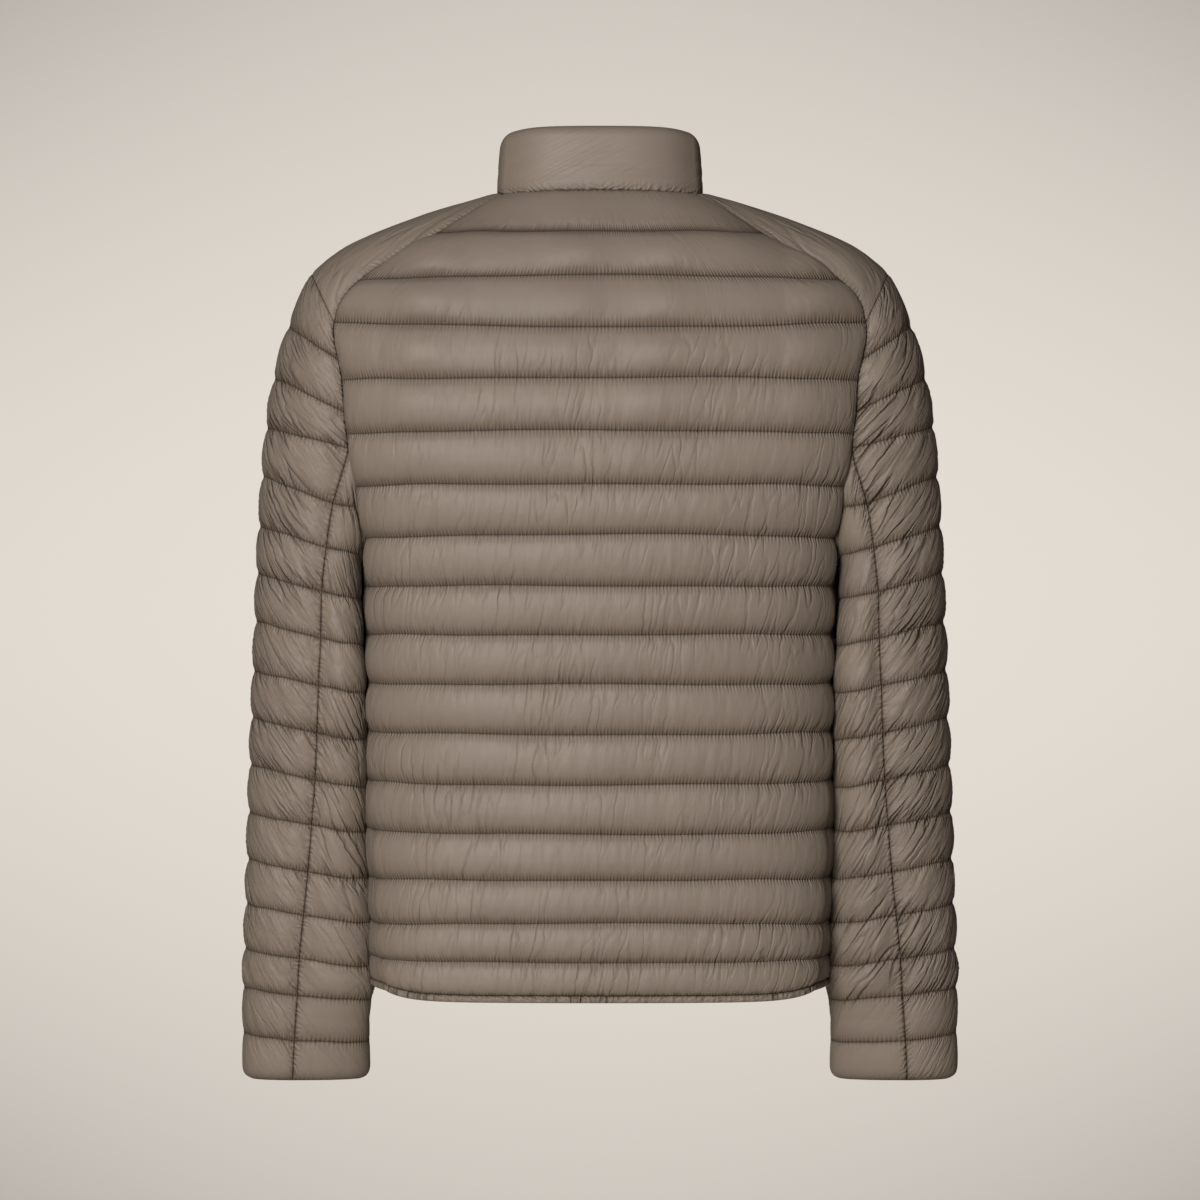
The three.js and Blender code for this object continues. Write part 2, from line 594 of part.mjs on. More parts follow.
// Rows of each kind of piece
const bodyRows = subRows(0, CHANNELS);
const sideRows = bodyRows.filter((row) => row >= ARMHOLE_LOW);
const saddleRows = bodyRows.filter((row) => row <= ARMHOLE_TOP);
const cuffEnd = [0.76, 0.86, 0.94, 0.985, 1].map((step) => CHANNELS - 1 + step);
const sleeveRows = bodyRows.filter((row) => row < cuffEnd[0]).concat(cuffEnd);
const underRows = sleeveRows.filter((row) => row >= SLEEVE_SPLIT);
const keepAtCuff = (row) => isQuiltLine(row) || row >= cuffEnd[0];

const shell = { back: clothPiece('back', backSurface, bodyRows, BACK_COLUMNS, bodyPuff, { facing: -1 }) };
for (const [side, mirrored] of [['left', false], ['right', true]]) {
  const cloth = (kind, ...rest) => {
    const settings = { ...rest.pop(), mirrored };
    shell[`${kind}_${side}`] = clothPiece(`${kind}_${side}`, ...rest, settings);
  };
  cloth('front', frontSurface, bodyRows, FRONT_COLUMNS, bodyPuff, { facing: -1 });
  cloth('side', sideSurface, sideRows, SIDE_COLUMNS, sidePuff, {});
  cloth('saddle', saddleSurface, saddleRows, SADDLE_COLUMNS, saddlePuff, {});
  cloth('sleeve_outer', outerSleeve, sleeveRows, SADDLE_COLUMNS, sleevePuff, {
    armholeRows: SLEEVE_SPLIT, keepInner: keepAtCuff,
  });
  cloth('sleeve_under', underSleeve, underRows, UNDER_COLUMNS, underPuff, {
    facing: -1, top: ARMHOLE_GAP, keepInner: keepAtCuff,
  });
}

// The neck seam and the hem run from the left front over the back to the right front
function roundTheBody(kinds, rowOf) {
  const line = [];
  const join = (points) => line.push(...(line.length ? points.slice(1) : points));
  const rowPoints = (name) => rowOf(shell[name].points);
  join(rowPoints('front_left'));
  for (const kind of kinds) join([...rowPoints(`${kind}_left`)].reverse());
  join(rowPoints('back'));
  for (const kind of kinds) join(rowPoints(`${kind}_right`));
  join([...rowPoints('front_right')].reverse());
  return line;
}
const NECK = roundTheBody(['saddle'], (points) => points[0]);
const HEM = roundTheBody(['side'], (points) => points[points.length - 1]);

// The collar stands on the neck seam. Rows 0 to 1 go up the stand and 1 to 2 round its fold.
function collarSurface(row, index) {
  const seam = NECK[index];
  const share = (seam.y - NECK[0].y) / (BODY[0].backY - NECK[0].y);
  const top = COLLAR_TOP.front + COLLAR_TOP.rise * share - COLLAR_TOP.bow * share * share;
  const rise = Math.min(row, 1);
  const fold = Math.max(row - 1, 0) * Math.PI / 2;
  const lean = mix(1, COLLAR_LEAN, rise);
  const x = Math.abs(seam.x) > ZIP_HALF + 0.01 ? seam.x * lean : seam.x;
  const place = point(x, seam.y * lean, mix(seam.z, top - COLLAR_ROLL, rise));
  const inward = point(-seam.x, -seam.y, 0).normalize();
  if (Math.abs(seam.x) < 2 * ZIP_HALF) inward.x = 0;
  place.addScaledVector(inward, COLLAR_TUCK * (1 - Math.cos(fold)));
  place.z += COLLAR_ROLL * Math.sin(fold);
  return place;
}

const collarRows = [0, 0.25, 0.6, 1, 1.35, 1.7, 2];
const collarPuff = (row) => COLLAR_PUFF * Math.sin(Math.PI * Math.min(row, 1.999) / 2) ** 0.6;
shell.collar = clothPiece('collar', collarSurface, collarRows, [...NECK.keys()], collarPuff, {
  keepInner: (row) => row !== 0.25,
});

// A narrow elastic binding closes the hem all round
function bindingSurface(row, index) {
  const place = HEM[index].clone();
  place.z -= row * BINDING_HEIGHT;
  return place;
}

const bindingPuff = (row) => (row === 0 || row === 1 ? 0 : BINDING_RISE);
const bindingRows = [0, 0.25, 0.75, 1];
shell.hem_binding = clothPiece('hem_binding', bindingSurface, bindingRows, [...HEM.keys()], bindingPuff, {
  facing: -1,
});

shellNormals(Object.values(shell));
for (const side of ['left', 'right']) {
  const sleeves = [shell[`sleeve_outer_${side}`], shell[`sleeve_under_${side}`]];
  matchArmhole(sleeves, [shell.back, shell[`front_${side}`], shell[`side_${side}`]]);
}
for (const piece of Object.values(shell)) addPiece(piece.name, wallGeometry(piece), piece.finish);

// Closed zip: two tapes and a coil as one strip between the fronts, from the hem to the collar's fold
function zipLine() {
  const line = [HEM[0].clone()];
  line[0].z -= BINDING_HEIGHT;
  for (let row = CHANNELS; row >= 0; row -= 0.5) line.push(frontSurface(row, 0));
  for (const row of [0.35, 0.7, 1]) line.push(collarSurface(row, 0));
  return line;
}
const ZIP_LINE = zipLine();
const half = ZIP_HALF - SEAM_GAP;
const zipAcross = [-half, -COIL_HALF - 0.5, -COIL_HALF, COIL_HALF, COIL_HALF + 0.5, half];
const zipSurface = (row, x) => point(x, ZIP_LINE[row].y, ZIP_LINE[row].z);
const coilPuff = (row, x) => (Math.abs(x) <= COIL_HALF ? COIL_RISE : 0);
const zipPiece = clothPiece('zip_tape', zipSurface, [...ZIP_LINE.keys()], zipAcross, coilPuff, {
  keepInner: () => true, wall: TAPE_THICKNESS, openEnds: true, finish: TAPE,
});
shellNormals([zipPiece]);
addPiece('zip_tape', wallGeometry(zipPiece), TAPE);

// Slider with the bail that its pull tab hangs in
const wasm = await Module();
wasm.setup();

function solid(geometry) {
  const bare = new THREE.BufferGeometry();
  const flat = geometry.index ? geometry.toNonIndexed() : geometry;
  bare.setAttribute('position', flat.getAttribute('position').clone());
  const merged = mergeVertices(bare, 1e-4);
  return new wasm.Manifold(new wasm.Mesh({
    numProp: 3,
    vertProperties: new Float32Array(merged.getAttribute('position').array),
    triVerts: new Uint32Array(merged.index.array),
  }));
}

function geometryOf(manifold) {
  const mesh = manifold.getMesh();
  const geometry = new THREE.BufferGeometry();
  geometry.setAttribute('position', new THREE.BufferAttribute(mesh.vertProperties, 3));
  geometry.setIndex(new THREE.BufferAttribute(mesh.triVerts, 1));
  geometry.computeVertexNormals();
  return geometry;
}

// The zip's front face at the height of the slider
const sliderMiddle = SLIDER.top - SLIDER.height / 2;
const collarFoot = collarSurface(0, 0);
const collarHead = collarSurface(1, 0);
const heightShare = (sliderMiddle - collarFoot.z) / (collarHead.z - collarFoot.z);
const coilFace = mix(collarFoot.y, collarHead.y, heightShare) - COIL_RISE;
const sliderFace = coilFace - 2 * SEAM_GAP - SLIDER.depth;
const PIVOT = point(0, sliderFace - BAIL.stand, sliderMiddle + 1);

// Side outline of the bail in Y and Z: an arch with a bore for the tab's bar
function bailGeometry() {
  const outline = new THREE.Shape();
  const foot = BAIL.stand + SEAM_GAP;
  outline.moveTo(-foot, BAIL.radius);
  outline.lineTo(0, BAIL.radius);
  outline.absarc(0, 0, BAIL.radius, Math.PI / 2, -Math.PI / 2, true);
  outline.lineTo(-foot, -BAIL.radius);
  outline.closePath();
  const bore = new THREE.Path();
  bore.absarc(0, 0, BAIL.bore, 0, 2 * Math.PI, false);
  outline.holes.push(bore);
  const geometry = new THREE.ExtrudeGeometry(outline, {
    depth: BAIL.width, bevelEnabled: false, curveSegments: 10,
  });
  // Outline x runs out of the slider, which is -Y, and the depth runs along X
  geometry.translate(0, 0, -BAIL.width / 2);
  geometry.applyMatrix4(new THREE.Matrix4().makeBasis(point(0, -1, 0), point(0, 0, 1), point(-1, 0, 0)));
  return geometry.translate(PIVOT.x, PIVOT.y, PIVOT.z);
}

function sliderBody() {
  const { width, height, depth } = SLIDER;
  const round = 1.2;
  const outline = new THREE.Shape();
  outline.moveTo(-width / 2 + round, height / 2);
  outline.lineTo(width / 2 - round, height / 2);
  outline.lineTo(width / 2, height / 2 - round);
  outline.lineTo(width / 2 - round, -height / 2);
  outline.lineTo(-width / 2 + round, -height / 2);
  outline.lineTo(-width / 2, height / 2 - round);
  outline.closePath();
  const bevel = 0.6;
  const geometry = new THREE.ExtrudeGeometry(outline, {
    depth: depth - 2 * bevel, bevelEnabled: true, bevelThickness: bevel, bevelSize: bevel, bevelOffset: -bevel,
    bevelSegments: 2,
  });
  geometry.rotateX(Math.PI / 2);
  return geometry.translate(0, sliderFace + depth - bevel, sliderMiddle);
}

addPiece('zip_slider', geometryOf(solid(sliderBody()).add(solid(bailGeometry()))), METAL);

// Pull tab: a flat tongue with an eye round the bail. It hangs from its own upper bar.
function tabGeometry() {
  const outline = new THREE.Shape();
  const side = TAB.width / 2;
  const top = TAB.bar / 2;
  const bottom = top - TAB.length;
  outline.moveTo(-side + 1, top);
  outline.lineTo(side - 1, top);
  outline.lineTo(side, top - 1);
  outline.lineTo(side, bottom + side);
  outline.absarc(0, bottom + side, side, 0, -Math.PI, true);
  outline.lineTo(-side, top - 1);
  outline.closePath();
  const eye = new THREE.Path();
  eye.moveTo(-TAB.eyeWidth / 2, -TAB.bar / 2);
  eye.lineTo(-TAB.eyeWidth / 2, -TAB.bar / 2 - TAB.eyeLength);
  eye.lineTo(TAB.eyeWidth / 2, -TAB.bar / 2 - TAB.eyeLength);
  eye.lineTo(TAB.eyeWidth / 2, -TAB.bar / 2);
  eye.closePath();
  outline.holes.push(eye);
  const geometry = new THREE.ExtrudeGeometry(outline, {
    depth: TAB.thickness, bevelEnabled: false, curveSegments: 10,
  });
  geometry.translate(0, 0, -TAB.thickness / 2);
  return geometry.rotateX(Math.PI / 2);
}

addPiece('pull_tab', geometryOf(solid(tabGeometry())), METAL).position.copy(PIVOT);

export default jacket;
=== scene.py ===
import math

import bpy
import numpy as np
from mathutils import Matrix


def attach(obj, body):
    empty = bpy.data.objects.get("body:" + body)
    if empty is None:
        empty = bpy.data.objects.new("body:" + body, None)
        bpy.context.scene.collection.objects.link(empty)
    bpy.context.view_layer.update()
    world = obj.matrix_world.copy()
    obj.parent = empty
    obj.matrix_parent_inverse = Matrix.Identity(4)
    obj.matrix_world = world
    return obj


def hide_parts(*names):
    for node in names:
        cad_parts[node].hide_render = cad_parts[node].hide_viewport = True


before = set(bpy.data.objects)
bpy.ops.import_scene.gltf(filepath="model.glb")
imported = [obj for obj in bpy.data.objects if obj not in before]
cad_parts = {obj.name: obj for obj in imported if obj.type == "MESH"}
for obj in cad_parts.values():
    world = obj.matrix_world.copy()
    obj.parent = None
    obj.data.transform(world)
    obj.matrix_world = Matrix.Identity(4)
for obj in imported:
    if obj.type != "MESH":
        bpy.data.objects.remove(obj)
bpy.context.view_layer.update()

# Sizes in millimetres, as in the solids. Meshes are written in metres.
MM = 0.001
WALL = 2.0
SEAM_GAP, ARMHOLE_GAP = 0.08, 0.8  # between pieces, at the armhole too
ZIP_LAP = 0.35  # fronts and binding reach this far over the zip tape
SNAP = 20  # seam points that agree to 1 / SNAP are one
TINY = 1e-6

# The quilted form. Rows are counted in quilt lines, from the top.
CHANNELS = 17
ARMHOLE_TOP, ARMHOLE_LOW = 3, 7  # the saddle's end, and the underarm
SLEEVE_SPLIT = 3  # the under sleeve starts at this row
SETTLE_ROWS = 3  # rows over which one form passes into the next
BODY_PUFF, SLEEVE_PUFF, SADDLE_PUFF, COLLAR_PUFF = 5.5, 2.6, 3.0, 2.2
CHANNEL_POWER = 0.7  # under 1 the channels are rounder than a sine
SADDLE_POWERS = (0.5, 0.6)  # the same for the saddle
PUFF_TAPER = 14.0  # the puff is full this far from a side seam
CUFF_FLATNESS = 0.6  # share of the puff in the sleeve's last two channels
PRESSED = (0.3, 0.45)  # share where sleeve and body face each other, under the arm and below
UNDERARM_PUFF = 0.5  # share in the whole under sleeve at its top
TOUCH = 6.4  # swell of the sleeve's inner side, which rests on the body
TOUCH_ROWS = [5.2, 7.4, 14.5, 15.5]
TOUCH_SHIFT = 0.75  # under 1 this swell lies nearer the back seam
WOBBLE = 0.011  # how far a quilt line strays, in channels
LINE_PHASES = (1.7, 2.4)  # change with the piece's name and the row
LINE_WAVES = ((11, 1, 1.0), (25, 2, 0.7))  # radians across the piece, times the phase, height
LINE_FADE = 6  # the waves fade over the outer sixths of a piece

# The cut
ZIP_HALF = 6.0
ROW_FULLNESS = 0.66  # how squarely a row turns to the side
ARC_POWER = 0.86  # under 1 an arc is fuller than an ellipse
FRONT_SWELL = 11.0  # the front stands out this much more than the back
FRONT_DROP = 0.85  # a line's height at the zip, between the back's middle and edge
HEM_DROP = 2.0  # from the side to the zip
FALL_POWER = 1.6  # over 1 the front's lines stay level beside the zip
SIDE_REACH = 0.7  # bulge of the side panel, as a share of its half width
SIDE_SWELL = 9.0  # the front seam stands out this much more than the back seam
UNDERARM_DIP = 11.0
UNDERARM_OUT, UNDERARM_DOWN = 1.5, 1.0  # step from the armhole's lowest point to the sleeve
SADDLE_ROUNDNESS = (0.35, 0.85)  # at the neck and at the sleeve
SLEEVE_HEAD_ROUNDNESS = 0.85
SLEEVE_SKEW = 0.45  # how far back the sleeve's innermost line lies, up to 0.5
FRONT_LOWER = 1.0  # a quilt line's drop from the back to the front seam
UNDER_SAG = 6.0  # sag of the under sleeve's quilt lines
UNDERARM_STEP = 6.0  # least distance between them at the armhole
CUFF_ROLL, CUFF_TUCK = 10.0, 8.0
CUFF_ROUND = 0.98  # under 1, so that the tuck never turns level
COLLAR_FRONT, COLLAR_RISE, COLLAR_BOW = -2.0, 103.0, 48.0
COLLAR_LEAN = 0.955
COLLAR_ROLL, ROLL_DEPTH = 9.0, 0.8  # height of the rolled edge, depth as a share of it
BINDING_HEIGHT, BINDING_FLAT = 6.0, 10.0
BINDING_PUFF, RIB_DEPTH = 1.5, 0.6
RIB_WAVES = (1.9, 2.2, 0.23)

# Grids
CHANNEL_STEPS = 8  # grid steps down one channel
CLOTH_STEP = 3.6  # grid step across the cloth
ROW_STEP = 5.2  # height of one grid step down the cloth
COUNT_ROW, SIDE_COUNT_ROW = 8, 12  # rows that are split evenly for a piece's columns
COLLAR_STEPS, BINDING_STEPS = 25, 7
FINE_STEPS = 401  # steps for measuring a curve
ARMHOLE_STEPS, HALF_UNDER_STEPS, UNDERARM_STEPS = 33, 9, 40
HALVINGS = 26  # rounds of the search for a level line

# Wrinkles
FRAMES = 18  # frames of the cloth simulation
PRESSURE = 14.0
SPARE_CLOTH = 0.010  # cloth to spare, as a share
START_PUFF, START_NOISE = 0.45, 0.35  # first shape of the cloth
FOLD_REACH = 6  # wrinkles up to twice this many grid steps wide are kept
FOLD_ROWS, FOLD_GAIN = 2, 1.7
WRINKLE_LIMIT, WRINKLE_GAIN = 1.5, 1.3
ASIDE_LIMIT = 2.0  # how far cloth may be drawn sideways
ROOM_SHARE = 0.35  # wrinkles are full from this share of the puff
FOLD_DEPTH = 1.6  # depth of the broad folds of the upper back
FOLD_FLOOR = -0.8  # limit that keeps them off the inner face
FOLD_FADE = ([0.3, 1.2, 3.5, 6], [0, 1, 1, 0.15])  # their strength at some rows
FOLDS = ((17, 160, 0, 1.0), (29, -120, 2, 0.8), (10.5, 90, 1, 0.5))  # widths, start, height
PIECE_SHIFT = 0.37  # between the patterns of two pieces, in metres

# Sewing and zip coil
STITCH_PITCH, STITCH_LENGTH = 3.0, 2.1
STITCH_HALF, STITCH_RISE = 0.22, 0.3
COIL_HALF, COIL_RISE, TOOTH_PITCH = 2.7, 1.4, 1.3
TOOTH_LEAN, TOOTH_BOW, TOOTH_RADIUS, TOOTH_SIDES = 0.35, 0.25, 0.42, 6
COIL_START, COIL_END = 2, 4  # bare ends of the zip


def table(names, *rows):
    return {name: np.array(values, float) for name, values in zip(names.split(), zip(*rows))}


# Body: a row for each quilt line from the collar seam to the hem
BODY = table(
    "back_z back_y edge_x edge_y edge_z turn bend",
    (-1, 66, 81, 40, -3, 48, 2),
    (-37, 87, 137, 59, -37, 36, 2),
    (-75, 100, 202, 67, -77, 32, 2.5),
    (-118, 110, 223, 66, -112, 42, 3),
    (-160.5, 115, 216, 75, -161, 50, 3),
    (-204.5, 117, 212, 76, -206, 56, 3),
    (-248.5, 117, 205, 66, -250, 66, 3),
    (-290.5, 115, 197.5, 44, -293, 86, 3),
    (-333, 112, 195.5, 34, -333.5, 84, 3),
    (-373.5, 109.5, 195, 30, -374, 83, 3),
    (-415, 107.5, 195, 28, -415, 83, 3),
    (-456.5, 106, 194.5, 30, -456, 82, 3),
    (-498.5, 105.5, 193, 38, -497, 79, 3),
    (-539.5, 105.5, 190.5, 46, -538, 75, 3),
    (-577.5, 106, 188.5, 48, -579, 77, 3),
    (-613.5, 106.5, 186.5, 50, -617, 77, 4),
    (-646, 106, 184, 55, -646, 75, 4),
    (-674, 104, 180, 61, -667, 72, 10),
)
# Fronts: a row for each quilt line down to the armhole's lowest point
FRONT = table(
    "front_z front_y edge_x edge_y edge_z turn",
    (-62, -74, 79, -24, -18, 44),
    (-97, -87, 131, -43, -50, 30),
    (-132, -98, 196, -56, -84, 27),
    (-168, -106, 222, -56, -113, 38),
    (-201, -112, 214, -65, -161, 50),
    (-233, -116, 211, -67, -206, 58),
    (-265, -118, 204.5, -60, -250, 67),
    (-298, -118.5, 197.5, -44, -293, 86),
)
# Ridge of the shoulder saddle
RIDGE = table("x y z", (87, 9, -3), (146, 6, -21), (209, 5, -45), (244.5, 4, -68))
# Sleeve: outermost line and height of the back seam at each quilt line
SLEEVE = table(
    "outer_x outer_z back_z",
    (244.5, -68, -112),
    (264, -113.5, -144),
    (276, -157, -188),
    (282.5, -199, -218),
    (286.5, -240, -264),
    (289.5, -282, -301),
    (291.5, -322, -338),
    (293, -363, -377),
    (295, -405, -417),
    (296.5, -445, -457),
    (298, -485, -497),
    (299.5, -526, -535),
    (300.5, -566, -575),
    (302, -604, -612),
    (303.5, -643, -649),
    (305, -676, -681),
    (305.5, -715, -720),
    (305.5, -755, -755),
)
# Sleeve seams and inner side, from the quilt line below SLEEVE_SPLIT to the cuff
SLEEVE_LOW = table(
    "back_x back_y front_y inner_x inner_z",
    (224, 64, -70, 204.5, -323),
    (230, 59, -72, 206.3, -353),
    (234, 56, -74, 206.5, -383),
    (235, 53, -75, 205.5, -413),
    (237, 50, -76, 205.5, -444),
    (238.5, 46, -76.5, 205, -476),
    (240.5, 42, -77, 205, -510),
    (243.5, 38, -76.5, 205, -544),
    (247, 33, -75.5, 202.6, -585),
    (251, 28, -74, 201, -617),
    (255, 22, -72, 200, -651),
    (257, 16, -69, 199, -682),
    (260, 10, -66, 198, -719),
    (262, 3, -61, 198, -755),
)


def mix(a, b, t):
    return a + (b - a) * t


def unit(vectors):
    return vectors / np.maximum(np.linalg.norm(vectors, axis=-1, keepdims=True), TINY)


def place(x, y, z):
    return np.stack(np.broadcast_arrays(x, y, z), -1).astype(float)


def column(values, row):
    """A column of a table read between its rows, on a smooth curve through them."""
    last = len(values) - 1
    low = np.clip(np.floor(row).astype(int), 0, last - 1)
    before = values[np.maximum(low - 1, 0)]
    first, second = values[low], values[low + 1]
    after = values[np.minimum(low + 2, last)]
    t = row - low
    slope_in, slope_out = (second - before) / 2, (after - first) / 2
    rise = 2 * (first - second) + slope_in + slope_out
    curve = 3 * (second - first) - 2 * slope_in - slope_out
    return ((rise * t + curve) * t + slope_in) * t + first


def read(rows, row):
    return {name: column(values, row) for name, values in rows.items()}


def settled(rows):
    """From 0 to 1 over the first SETTLE_ROWS rows of a form."""
    return np.clip(rows / SETTLE_ROWS, 0, 1)


def half_row(middle_x, middle_y, edge_x, edge_y, turn, t):
    """A level arc from the middle of the body to its edge."""
    turn = np.radians(turn)
    sign = np.sign(middle_y - edge_y)
    reach = ROW_FULLNESS * np.abs(middle_y - edge_y) / np.sin(turn)
    handle_x = (mix(middle_x, edge_x, ROW_FULLNESS), edge_x - reach * np.cos(turn))
    handle_y = (middle_y, edge_y + sign * reach * np.sin(turn))
    weights = ((1 - t) ** 3, 3 * t * (1 - t) ** 2, 3 * t * t * (1 - t), t**3)
    points = (middle_x, *handle_x, edge_x), (middle_y, *handle_y, edge_y)
    return [sum(weight * value for weight, value in zip(weights, values)) for values in points]


def arc(start, top, end, t, roundness, skew=0.0):
    """An arc from one seam over an outermost point to another seam, parabola to oval."""
    t = np.asarray(t, float)[..., None]
    roundness = np.asarray(roundness, float)[..., None]
    middle, half = (start + end) / 2, (start - end) / 2
    cosine = np.cos(np.pi * t)
    cosine = np.sign(cosine) * np.abs(cosine) ** ARC_POWER
    sine = np.maximum(np.sin(np.pi * t), 0) ** ARC_POWER
    across = mix(1 - 2 * t, cosine, roundness)
    out = mix(1 - (1 - 2 * t) ** 2, sine, roundness)
    across = across + np.asarray(skew, float)[..., None] * (1 - across**2)
    return middle + half * across + (top - middle) * out


def back_edge(row):
    body = read(BODY, row)
    return place(body["edge_x"], body["edge_y"], body["edge_z"])


def front_edge(row):
    front = read(FRONT, np.minimum(row, ARMHOLE_LOW))
    upper = place(front["edge_x"], front["edge_y"], front["edge_z"])
    lower = back_edge(row) * (1, -1, 1)
    lower[..., 0] += SIDE_SWELL * np.clip(row - ARMHOLE_LOW, 0, 1)
    return np.where((row >= ARMHOLE_LOW)[..., None], lower, upper)


def back_surface(row, t):
    body = read(BODY, row)
    x, y = half_row(0, body["back_y"], body["edge_x"], body["edge_y"], body["turn"], np.abs(1 - 2 * t))
    z = mix(body["back_z"], body["edge_z"], (x / body["edge_x"]) ** body["bend"])
    return place(np.where(t > 0.5, -x, x), y, z)


def front_surface(row, t):
    body, edge = read(BODY, row), front_edge(row)
    front = read(FRONT, np.minimum(row, ARMHOLE_LOW))
    below = row >= ARMHOLE_LOW
    share = settled(row - ARMHOLE_LOW)
    last_y, last_z = FRONT["front_y"][-1], FRONT["front_z"][-1]
    low_y = mix(last_y, -(body["back_y"] + FRONT_SWELL), share)
    hang = last_z + body["edge_z"] - BODY["edge_z"][ARMHOLE_LOW]
    low_z = mix(hang, mix(body["back_z"], body["edge_z"], FRONT_DROP), share)
    low_z = mix(low_z, body["edge_z"] - HEM_DROP, np.clip(row - CHANNELS + 1, 0, 1))
    front_y = np.where(below, low_y, front["front_y"])
    front_z = np.where(below, low_z, front["front_z"])
    turn = np.where(below, body["turn"], front["turn"])
    x, y = half_row(ZIP_HALF, front_y, edge[..., 0], edge[..., 1], turn, t)
    fall = (x - ZIP_HALF) / (edge[..., 0] - ZIP_HALF)
    return place(x, y, mix(front_z, edge[..., 2], np.clip(fall, 0, 1) ** FALL_POWER))


def side_surface(row, t):
    body = read(BODY, row)
    turn = np.radians(body["turn"])
    reach = SIDE_REACH * body["edge_y"]
    dip = UNDERARM_DIP * np.clip(1 - (row - ARMHOLE_LOW), 0, 1) ** 2
    swell = SIDE_SWELL * np.clip(row - ARMHOLE_LOW, 0, 1) * (3 * t * t * (1 - t) + t**3)
    x = body["edge_x"] + 3 * t * (1 - t) * reach * np.cos(turn) + swell
    edge_y, handle_y = body["edge_y"], body["edge_y"] - reach * np.sin(turn)
    y = edge_y * ((1 - t) ** 3 - t**3) + handle_y * (3 * t * (1 - t) ** 2 - 3 * t * t * (1 - t))
    return place(x, y, body["edge_z"] - dip * np.sin(np.pi * t))


def saddle_surface(row, t):
    ridge = read(RIDGE, row)
    top = place(ridge["x"], ridge["y"], ridge["z"])
    return arc(back_edge(row), top, front_edge(row), t, mix(*SADDLE_ROUNDNESS, row / ARMHOLE_TOP))


# The armhole as two lines, down the back and down the front, to its lowest point
upper_rows = np.linspace(ARMHOLE_TOP, ARMHOLE_LOW, ARMHOLE_STEPS)
half_under = np.linspace(0, 0.5, HALF_UNDER_STEPS)[1:]
low_row = np.full(len(half_under), float(ARMHOLE_LOW))
BACK_LINE = np.vstack([back_edge(upper_rows), side_surface(low_row, half_under)])
FRONT_LINE = np.vstack([front_edge(upper_rows), side_surface(low_row, 1 - half_under)])


def run_of(line):
    """Length along a line of points, up to each of them."""
    return np.concatenate([[0], np.cumsum(np.linalg.norm(np.diff(line, axis=0), axis=1))])


def on_line(line, known, wanted):
    """Points of a line at wanted values of something that is known at its own points."""
    return place(*[np.interp(wanted, known, line[:, axis]) for axis in range(3)])


def at_height(line, height):
    return on_line(line, -line[:, 2], -height)


SPLIT_Z = SLEEVE["back_z"][SLEEVE_SPLIT]


def underarm_line():
    """The stretch of the armhole that the under sleeve is sewn to, read by its length."""
    back = at_height(BACK_LINE, np.linspace(SPLIT_Z, BACK_LINE[-1, 2], UNDERARM_STEPS))
    front = at_height(FRONT_LINE, np.linspace(FRONT_LINE[-1, 2], SPLIT_Z - FRONT_LOWER, UNDERARM_STEPS))
    line = np.vstack([back, front[1:]])
    length = run_of(line)
    return line, length / length[-1]


UNDERARM, UNDERARM_AT = underarm_line()


def underarm(t):
    return on_line(UNDERARM, UNDERARM_AT, t)


def sleeve_low_column(name):
    """A column of the lower sleeve with the armhole's own values as its first row."""
    back = at_height(BACK_LINE, SPLIT_Z)
    front = at_height(FRONT_LINE, SPLIT_Z - FRONT_LOWER)
    bottom = underarm(0.5)
    first = {"back_x": back[0], "back_y": back[1], "front_x": front[0], "front_y": front[1],
             "inner_x": bottom[0] + UNDERARM_OUT, "inner_z": bottom[2] - UNDERARM_DOWN}
    values = SLEEVE_LOW["back_x" if name == "front_x" else name]
    return np.concatenate([[first[name]], values])


LOW = {name: sleeve_low_column(name) for name in (*SLEEVE_LOW, "front_x")}


def sleeve_seams(row):
    """Points on the back and the front seam of the sleeve."""
    height = column(SLEEVE["back_z"], row)
    low = read(LOW, np.maximum(row - SLEEVE_SPLIT, 0))
    above = (row <= SLEEVE_SPLIT)[..., None]
    seams = []
    for name, line, at in (("back", BACK_LINE, height), ("front", FRONT_LINE, height - FRONT_LOWER)):
        lower = place(low[f"{name}_x"], low[f"{name}_y"], at)
        seams.append(np.where(above, at_height(line, at), lower))
    return seams


def tuck_cuff(points, row):
    """The end of the sleeve turns in towards the middle of the cuff."""
    back, front = sleeve_seams(row)
    start = SLEEVE["outer_z"][-1] + CUFF_ROLL
    share = np.clip((start - points[..., 2]) / CUFF_ROLL, 0, 1)
    share = np.where(row < CHANNELS - 1, 0, share)
    inward = unit(((back + front) / 2 - points) * (1, 1, 0))
    return points + inward * (CUFF_TUCK * (1 - np.sqrt(1 - CUFF_ROUND * share**2)))[..., None]


def outer_sleeve(row, t):
    back, front = sleeve_seams(row)
    outer_x, outer_z = (column(SLEEVE[name], row) for name in ("outer_x", "outer_z"))
    top = place(outer_x, (back[..., 1] + front[..., 1]) / 2, outer_z)
    roundness = mix(SLEEVE_HEAD_ROUNDNESS, 1, np.clip(row / SLEEVE_SPLIT, 0, 1))
    points = arc(back, top, front, t, roundness)
    return tuck_cuff(points, row + 0 * t)


